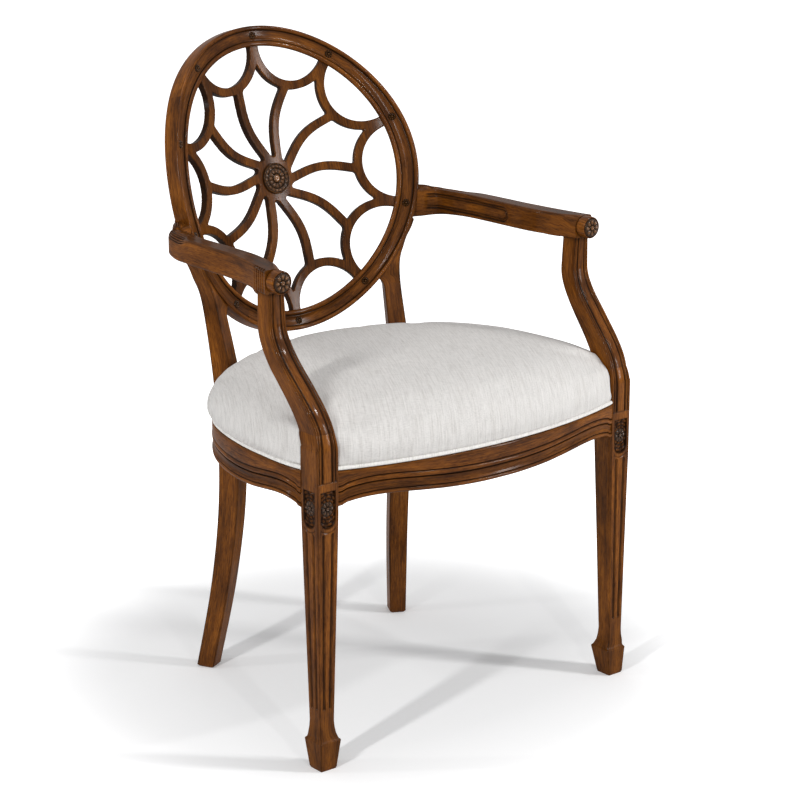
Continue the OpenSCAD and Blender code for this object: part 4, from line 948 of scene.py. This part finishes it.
def arm():
    e, t = A_END[:2], A_TAIL[:2]
    outer = curve([arm_place(s, 1) for s in SHAPE] + [t + [20, -20], t + [11, -6], t + [3, 4]], 8)
    inner = curve([arm_place(s, -1) for s in SHAPE] + [e + [4, -4]], 8)
    cut = 9 * 8
    main_o, tail_o = outer[:cut + 1], np.vstack([outer[cut:], t + [-5, 7]])
    tail_i = np.array([inner[-1], e + [-6, 6], e + [-12, 8], t + [-9, 4]])
    n0, n1 = 170, 34
    po = np.vstack([resample(main_o, n0), resample(tail_o, n1)[1:]])
    pi = np.vstack([resample(inner, n0), resample(tail_i, n1)[1:]])
    back_y = t[1] + 14
    under = curve([(back_y, ARM_H - ARM_REAR), (t[1] - 30, ARM_UNDER - 6), (t[1] - 90, ARM_UNDER - 1),
                   (POST_TOP_BACK + 60, ARM_UNDER), (POST_TOP_BACK + 20, ARM_UNDER - 0.6),
                   (POST_TOP_BACK + 9, ARM_UNDER - 4.6), (POST_TOP_BACK, ARM_UNDER - 5.6)], 8)[::-1]
    front_y = arm_place(SHAPE[0], 0)[1]
    sections, shade_amounts = [], []
    rb = 2.0
    tail = np.linspace(0, 90, 32)[1:-1]
    flutes = 0.5 - 0.5 * np.cos(20 * np.radians(tail))
    for a, b in zip(pi, po):
        w = np.linalg.norm(b - a)
        y = (a[1] + b[1]) / 2
        zb = ARM_UNDER if y < POST_TOP_BACK + 0.5 else np.interp(y, under[:, 0], under[:, 1])
        zt = ARM_H - 1.0 + 1.5 * ease((y - front_y) / 120.0)
        near = ease((front_y + KNUCKLE_D - y) / KNUCKLE_D)
        rt_in = 4.5 + 12.0 * near
        rt_out = min(3.6 + 1.2 * near + 9.0 * ease((y - TAIL_WIDE) / 40.0), w - rt_in - 1.0)
        cut_in = FLUTE_CUT * ease((y - TAIL_CUT) / 14.0)
        parts = [(UNDER, np.linspace((rb, zb), (w - rb, zb), 7)), (LOWER, arc(w - rb, zb + rb, rb, (-60, -30))),
                 (OUTER, np.linspace((w, zb + rb), (w, zt - rt_out), 16)),
                 (TOP_OUT, arc(w - rt_out, zt - rt_out, rt_out - cut_in * flutes, tail)),
                 (TOP, np.linspace((w - rt_out, zt), (rt_in, zt), 22)),
                 (TOP_IN, arc(rt_in, zt - rt_in, rt_in, np.linspace(90, 180, 8)[1:-1])),
                 (INNER, np.linspace((0.0, zt - rt_in), (0.0, zb + rb), 34)),
                 (LOWER, arc(rb, zb + rb, rb, (210, 240)))]
        q = np.concatenate([p for _, p in parts])
        side = np.concatenate([np.full(len(p), k) for k, p in parts])
        g = SIDE_SHADE[side]
        # painted shade in the flutes and a lighter tone on the ridges between them, a painted highlight
        g[side == TOP_OUT] += (flutes - 0.45) * cut_in / FLUTE_CUT
        if y < POST_TOP_BACK + 30:
            hang = max(0.0, ARM_UNDER - 0.5 - zb) * ease((0.65 - q[:, 0] / w) / 0.3)
            q[:, 1] += hang * np.clip((ARM_UNDER + 6 - q[:, 1]) / (ARM_UNDER + 6 - zb), 0, 1)
        # reeds on the outer side, with painted shade in their grooves
        dy = y - front_y
        if REEDS_FROM < dy < REEDS_TO:
            groove = REED_DEPTH * math.exp(-((dy / REED - round(dy / REED)) * REED / 1.35) ** 2)
            on = np.isin(side, (OUTER, TOP_OUT, LOWER))
            q[on, 0] -= groove * (side[on] != LOWER)
            q[side == TOP_OUT, 1] -= groove * 0.6
            g[on] += 0.5 * groove
        # sunk panel on the inner side, rounded at its front end, with painted shade along its outline grooves
        pf = KNUCKLE_FACE + (A_END[1] - KNUCKLE_FACE) * 0.5
        on = side == INNER
        zc, hh = ARM_UNDER + ARM_DROP / 2 - 1, 12.0
        dist = np.where(y < pf, np.hypot(y - pf, q[on, 1] - zc), np.abs(q[on, 1] - zc)) - hh
        endf = ease((A_END[1] - 5 - y) / 2.0)
        q[on, 0] += (2.4 * ease(-dist / 1.4) - 1.2 * ease((-dist - 3.6) / 1.6)) * endf
        g[on] += (np.exp(-((dist + 0.6) / 1.6) ** 2) + 0.9 * np.exp(-((dist + 4.6) / 1.3) ** 2)) * endf
        # painted shade under the arm
        g[side == UNDER] += 0.25
        xy = a + q[:, :1] * (b - a) / w
        z = q[:, 1].copy()
        # behind the ring the top swells up, with fine gouges that spread to the tail; painted shade in the gouges, and
        # less painted shade on the fan so that its ridges read pale, a painted highlight
        top, yy = np.isin(side, (TOP, TOP_IN)), xy[:, 1]
        outer_side = np.clip(q[:, 0] / w, 0, 1)
        rise = ease((yy - TAIL_SWELL) / 26.0) * TAIL_RISE * ease((outer_side - 0.2) / 0.5)
        fa = np.degrees(np.arctan2(yy - FAN[1], xy[:, 0] - FAN[0]))
        fr = np.hypot(xy[:, 0] - FAN[0], yy - FAN[1])
        leafy = ease((fr - 6) / 18.0) * ease((88.0 - fr) / 8.0) * (yy > FAN[1] - 2) * ease((w - 1.0 - q[:, 0]) / 2.5)
        leafy = leafy * ease((outer_side - 0.2) / 0.3)
        gouge = (0.5 + 0.5 * np.cos(2 * np.pi * fa / 7.5)) ** 0.8 * leafy
        down = np.clip((zt - q[:, 1]) / (zt - zb), 0, 1)
        z += (top | (side == TOP_OUT)) * rise - top * 1.5 * gouge + (side == OUTER) * rise * (1 - down)
        g += top * (0.75 * gouge - 0.45 * leafy)
        # the lower corner of the tail is rounded off
        z += TAIL_LIFT * np.clip((yy - TAIL_LOW) / 58.0, 0, 1.05) ** 2 * down * ease((outer_side - 0.2) / 0.5)
        sections.append(np.column_stack([xy, z]))
        shade_amounts.append(np.clip(g, 0, 1))
    return loft(sections, u=run((pi + po) / 2), painted_shade=shade_amounts)


def knuckle():
    """The round end of the arm, from its face back: radius, depth and painted shade of each ring, darkest in the
    grooves.
    """
    prof = [(11.5, 0.0, 0.3), (13.6, 0.0, 0.6), (14.3, 0.5, 0.9), (14.8, 0.9, 1.0), (15.4, 0.3, 0.3), (16.2, 0.5, 0.0),
            (16.9, 1.5, 0.0), (17.0, 3.2, 0.0), (17.0, 8.0, 0.0), (17.0, 13.0, 0.0), (16.9, 15.6, 0.1),
            (16.0, 16.8, 0.8), (16.0, 18.0, 0.8), (16.4, 19.0, 0.1), (16.0, 21.0, 0.0), (14.0, 24.0, 0.0)]
    n = 72
    a = np.linspace(0, 2 * np.pi, n, endpoint=False)
    sections = [np.column_stack([KX + r * np.cos(a), np.full(n, KNUCKLE_FACE + y), KNUCKLE_Z + r * np.sin(a)])
                for r, y, _ in prof]
    return loft(sections, u=[y for _, y, _ in prof], painted_shade=[[q] * n for *_, q in prof])


def join(parts):
    """Lofted parts in one, each with its faces turned outwards."""
    V, F, UV, G, n = [], [], [], [], 0
    for p, f, uv, g in parts:
        vol = sum(np.dot(p[fc[0]], np.cross(p[fc[k]], p[fc[k + 1]])) for fc in f for k in range(1, len(fc) - 1))
        turn = 1 if vol >= 0 else -1
        i = 0
        for fc in f:
            F.append(tuple(n + q for q in fc[::turn]))
            UV += [tuple(q) for q in uv[i:i + len(fc)][::turn]]
            i += len(fc)
        V.append(p)
        G += list(g)
        n += len(p)
    return np.concatenate(V), F, UV, G


def beside_ring(p, r_min):
    """Moves points out of the round back's outline, along its radius."""
    y, z = p[:, 1] - HUB_Y, p[:, 2] - HUB_H
    s, w = y * C - z * T + HOLLOW, y * T + z * C
    reach = np.hypot(p[:, 0], s)
    d = reach - HOLLOW
    x = p[:, 0] * HOLLOW / reach / SQ
    r = np.hypot(x, w)
    k = np.where((d > -60) & (d < 25) & (r < r_min), r_min / np.maximum(r, 1e-6), 1.0)
    return np.where(k[:, None] > 1, on_hollow(SQ * x * k, w * k, d), p)


v, *rest = arm()
a_right = piece("arm_rest_right", *join([(beside_ring(v, RING_R - 2.5), *rest), knuckle()]), "arm_right", angle=48)
mirror_piece(a_right, "arm_rest_left", "arm_left")


# ---- upholstery
def seat_loop():
    """The seat's outline, anticlockwise from the front left block."""
    fx = np.linspace(-BLOCK_IN, BLOCK_IN, 41)
    back = back_arc(np.radians(np.linspace(TURN * 0.85, -TURN * 0.85, 21)))
    flip = SIDE_LINE[::-1] * [-1, 1]
    return np.vstack([np.column_stack([fx, bow_at(fx)]), [[BLOCK_OUT, BLOCK_FRONT + 12]], SIDE_LINE, back, flip,
                      [[-BLOCK_OUT, BLOCK_FRONT + 12]]])


def smooth_closed(p, n):
    q = np.vstack([p, p[:1]])
    r = run(q)
    t = np.linspace(0, r[-1], n, endpoint=False)
    return np.stack([np.interp(t, r, q[:, k]) for k in range(2)], 1)


MIDDLE = np.array([0.0, -40.0])
FULL = 3.5


def cushion(lift):
    loop = smooth_closed(seat_loop(), 200)
    out = -left_normals(loop, closed=True)
    for _ in range(4):
        out = out + 0.5 * (np.roll(out, 1, 0) + np.roll(out, -1, 0))
        out /= np.linalg.norm(out, axis=1, keepdims=True)
    wi = WELT + 1.0
    rows = [(-wi - 1, 1, 0), (-2.5, 1, 6.4 / CROWN), (BULGE * 0.7, 1, 0.15), (BULGE, 1, 0.25), (BULGE * 0.7, 1, 0.38),
            (-2, 1, 0.53), (-10, 1, 0.66), (-12, 0.94, 0.78), (-11, 0.82, 0.89), (-8, 0.62, 0.96), (-4, 0.35, 0.99)]
    top = curve(rows[2:] + [(-1, 0.12, 1.0)], 4)
    rows = [rows[0], rows[1]] + [tuple(r) for r in top]
    base_z = SEAT_H + 0.3
    verts = [(*MIDDLE, base_z)]
    back_y = back_mid + back_r
    ax_ = np.abs(loop[:, 0])
    far = np.minimum(np.hypot(ax_ - BLOCK_OUT, loop[:, 1] - BLOCK_BACK) / 60.0,
                     np.hypot(ax_ - BLOCK_IN, loop[:, 1] - BLOCK_FRONT) / 12.0)
    far = np.where((ax_ > BLOCK_IN) & (loop[:, 1] < BLOCK_BACK), 0.0, far)
    far = ease(far)[:, None]
    for bulge, share, hgt in rows:
        swollen = np.asarray((bulge + (FULL + 7.0 * out[:, :1] ** 4) * (hgt < 0.7)) if hgt > 0.1 else bulge)
        q = loop + (np.where(swollen > 0, swollen * far, swollen) - 1.0 * (1 - far)) * out
        m = MIDDLE + (q - MIDDLE) * share
        rear = np.clip((m[:, 1] - MIDDLE[1]) / (back_y - MIDDLE[1]), 0, None)
        verts += list(np.column_stack([m, base_z + hgt * (CROWN + lift * (hgt > 0.5) - FALL * rear)]))
    verts.append((*MIDDLE, base_z + CROWN + lift))
    n, k = len(loop), len(rows)
    faces = [(0, 1 + (i + 1) % n, 1 + i) for i in range(n)]
    for r in range(k - 1):
        a, b = 1 + r * n, 1 + (r + 1) * n
        faces += [(a + i, a + (i + 1) % n, b + (i + 1) % n, b + i) for i in range(n)]
    a = 1 + (k - 1) * n
    faces += [(a + i, a + (i + 1) % n, 1 + k * n) for i in range(n)]
    return np.array(verts), faces


def clear_of_legs(co):
    """Moves points in metres out of the upright blocks, posts and legs."""
    p = co * 1000.0
    for s in (1, -1):
        x, y, z = p[:, 0] * s, p[:, 1], p[:, 2]
        lean = np.clip(post_back(z) - BLOCK_BACK, 0, None)
        yb = BLOCK_BACK + 0.8 + np.where(z > BLOCK_TOP - 2, lean, 7.1 * ease((z - 484.0) / 22.0))
        xi = BLOCK_IN - 0.6
        inside = (x > xi) & (y < yb)
        dx, dy = x - xi, yb - y
        side = inside & (dx < dy)
        x = np.where(side, xi, x)
        y = np.where(inside & ~side, yb, y)
        u, v = x * TURN_C - y * TURN_S, x * TURN_S + y * TURN_C
        u0, u1, v0 = REAR_OUT - REAR_W - 1.0, REAR_OUT + 0.8, REAR_FRONT - 0.8
        inside = (u > u0) & (u < u1) & (v > v0)
        d = np.stack([u - u0, u1 - u, v - v0], 1)
        w = d.argmin(1)
        u = np.where(inside & (w == 0), u0, np.where(inside & (w == 1), u1, u))
        v = np.where(inside & (w == 2), v0, v)
        xy = from_turned(u, v)
        p[:, 0], p[:, 1] = xy[:, 0] * s, xy[:, 1]
    return p / 1000.0


def settled(pad, frames=20, cap=0.0065):
    """Where the cover comes to rest under a little pressure, held at its foot and moved by cap metres at most."""
    rest = points_of(pad.data)
    low = np.where(rest[:, 2] < (SEAT_H + 9) / 1000)[0]
    pad.vertex_groups.new(name="held").add([int(i) for i in low], 1.0, "REPLACE")
    cl = pad.modifiers.new("cloth", "CLOTH")
    st = cl.settings
    st.quality = 6
    st.mass = 0.3
    st.tension_stiffness = st.compression_stiffness = 25
    st.bending_stiffness = 3.0
    st.use_pressure = True
    st.uniform_pressure_force = 4.0
    st.vertex_group_mass = "held"
    st.effector_weights.gravity = 0.0
    cl.point_cache.frame_start, cl.point_cache.frame_end = 1, frames
    scn = bpy.context.scene
    for fr in range(1, frames + 1):
        scn.frame_set(fr)
    move = points_of(evaluated(pad)) - rest
    move *= np.minimum(1.0, cap / np.maximum(np.linalg.norm(move, axis=1, keepdims=True), 1e-9))
    pad.modifiers.clear()
    scn.frame_set(1)
    return rest + move


pad = add("seat_pad", new_mesh("cushion", *cushion(0.5)))
rm = pad.modifiers.new("remesh", "REMESH")
rm.mode, rm.voxel_size = "VOXEL", 0.006
apply_modifiers(pad)
set_points(pad.data, settled(pad))
sm = pad.modifiers.new("smooth", "SMOOTH")
sm.factor, sm.iterations = 0.5, 6
sd = pad.modifiers.new("subdivide", "SUBSURF")
sd.levels = sd.render_levels = 1
apply_modifiers(pad)
me = pad.data
me.polygons.foreach_set("use_smooth", [True] * len(me.polygons))
set_points(me, clear_of_legs(points_of(me)))
me.materials.clear()
me.materials.append(LINEN)
declare(pad, "linen", "seat_cushion")


def tube(path, z=SEAT_H + 3.3, r=3.1, n=14):
    """A round cord along a flat path."""
    t = np.gradient(path, axis=0)
    t /= np.linalg.norm(t, axis=1, keepdims=True)
    a = np.linspace(0, 2 * np.pi, n, endpoint=False)
    return loft([np.column_stack([p[0] - q[1] * r * np.cos(a), p[1] + q[0] * r * np.cos(a), z + r * np.sin(a)])
                 for p, q in zip(path, t)])


WELT_IN = 3.4
side_path = side_line - side_normals * WELT_IN
paths = (bow - bow_normals * WELT_IN, side_path, side_path * [-1, 1], back_arc(ang[1:-1], WELT_IN))
piece("welt_cord", *join([tube(p) for p in paths]), "seat_welt", material=WELT_CLOTH, slot="linen", angle=80)


# ---- materials of the carried-over solids
for material, names in ((HIDDEN_X, ("corner_blocks", "seat_board", "rail_dowels", "ring_dowels", "arm_dowels")),
                        (HIDDEN_Z, ("post_dowels",)), (STEEL, ("block_screws", "board_screws")),
                        (CLOTH, ("dust_cover",))):
    for name in names:
        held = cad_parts[name].data.materials
        held.clear()
        held.append(material)

# ---------------------------------------------------------------- stage, light and camera
FLOOR_HALF = 30000.0
floor = add("floor", new_mesh("floor", [(x * FLOOR_HALF, y * FLOOR_HALF, 0)
                                        for x, y in ((-1, -1), (1, -1), (1, 1), (-1, 1))], [(0, 1, 2, 3)]))
material, nt, b = new_material("studio_floor")
# the floor stays white far from the lamps as well
src = node(nt, "TexCoord").outputs["Object"]
distance = node(nt, "VectorMath", {0: src}, operation="LENGTH").outputs["Value"]
spread = node(nt, "MapRange", {"Value": distance, "From Min": 0.38, "From Max": 0.82, "To Min": 0.12, "To Max": 1.0},
              interpolation_type="SMOOTHSTEP").outputs[0]
ray = node(nt, "LightPath").outputs
glow = maths(nt, "MULTIPLY", ray["Is Camera Ray"], spread)
shine = maths(nt, "MAXIMUM", ray["Is Glossy Ray"], ray["Is Transmission Ray"])
fill(nt, b, {"Base Color": (0.93, 0.93, 0.93, 1), "Roughness": 1.0, "Specular IOR Level": 0.0,
             "Emission Color": (1, 1, 1, 1),
             "Emission Strength": maths(nt, "MAXIMUM", glow, maths(nt, "MULTIPLY", shine, 0.10))})
floor.data.materials.append(material)

world = bpy.data.worlds.new("studio")
bpy.context.scene.world = world
world.use_nodes = True
nt = world.node_tree
nt.nodes.clear()
dim = node(nt, "Background", {"Color": (0.97, 0.98, 1.0, 1), "Strength": 0.36}).outputs[0]
white = node(nt, "Background", {"Color": (1, 1, 1, 1), "Strength": 1.0}).outputs[0]
ray = node(nt, "LightPath").outputs
direct = maths(nt, "MAXIMUM", ray["Is Camera Ray"], ray["Is Glossy Ray"])
direct = maths(nt, "MAXIMUM", direct, ray["Is Transmission Ray"])
node(nt, "OutputWorld", {0: node(nt, "MixShader", {0: direct, 1: dim, 2: white}).outputs[0]})


def softbox(name, at, aim, size, power):
    d = bpy.data.lights.new(name, "AREA")
    d.shape = "RECTANGLE"
    d.size, d.size_y = size
    d.energy = power
    o = add(name, d)
    o.location = at
    o.rotation_euler = (Vector(aim) - Vector(at)).to_track_quat("-Z", "Y").to_euler()


softbox("key", (1.5, -1.9, 2.9), (0, 0, 0.5), (0.16, 0.16), 15)
softbox("strip", (1.9, -2.5, 1.3), (0, 0, 0.7), (0.30, 1.6), 46)
softbox("side", (-2.4, -0.9, 2.1), (0, 0, 0.5), (0.10, 1.0), 33)
softbox("rear", (-2.3, 1.2, 1.0), (0, 0, 0.6), (0.07, 1.2), 9)
softbox("front", (-1.0, -2.9, 1.9), (0, 0, 0.5), (0.08, 0.45), 9)
softbox("top", (0.1, 0.0, 3.1), (0, 0, 0.5), (1.2, 1.2), 13)

LENS_PIXELS, PHOTO_PIXELS, SENSOR = 2389.0, 800.0, 36.0
cam = bpy.data.cameras.new("camera")
cam.sensor_width = SENSOR
cam.lens = LENS_PIXELS / PHOTO_PIXELS * SENSOR
camera = add("camera", cam)
az, el = deg(-39.03), deg(16.05)
back_v = Vector((math.sin(az) * math.cos(el), -math.cos(az) * math.cos(el), math.sin(el)))
right_v = Vector((math.cos(az), math.sin(az), 0))
m = Matrix((right_v, back_v.cross(right_v), back_v)).transposed().to_4x4()
m.translation = Vector((-2.217, -2.813, 1.478))
camera.matrix_world = m
bpy.context.scene.camera = camera
bpy.context.scene.view_settings.view_transform = "Standard"
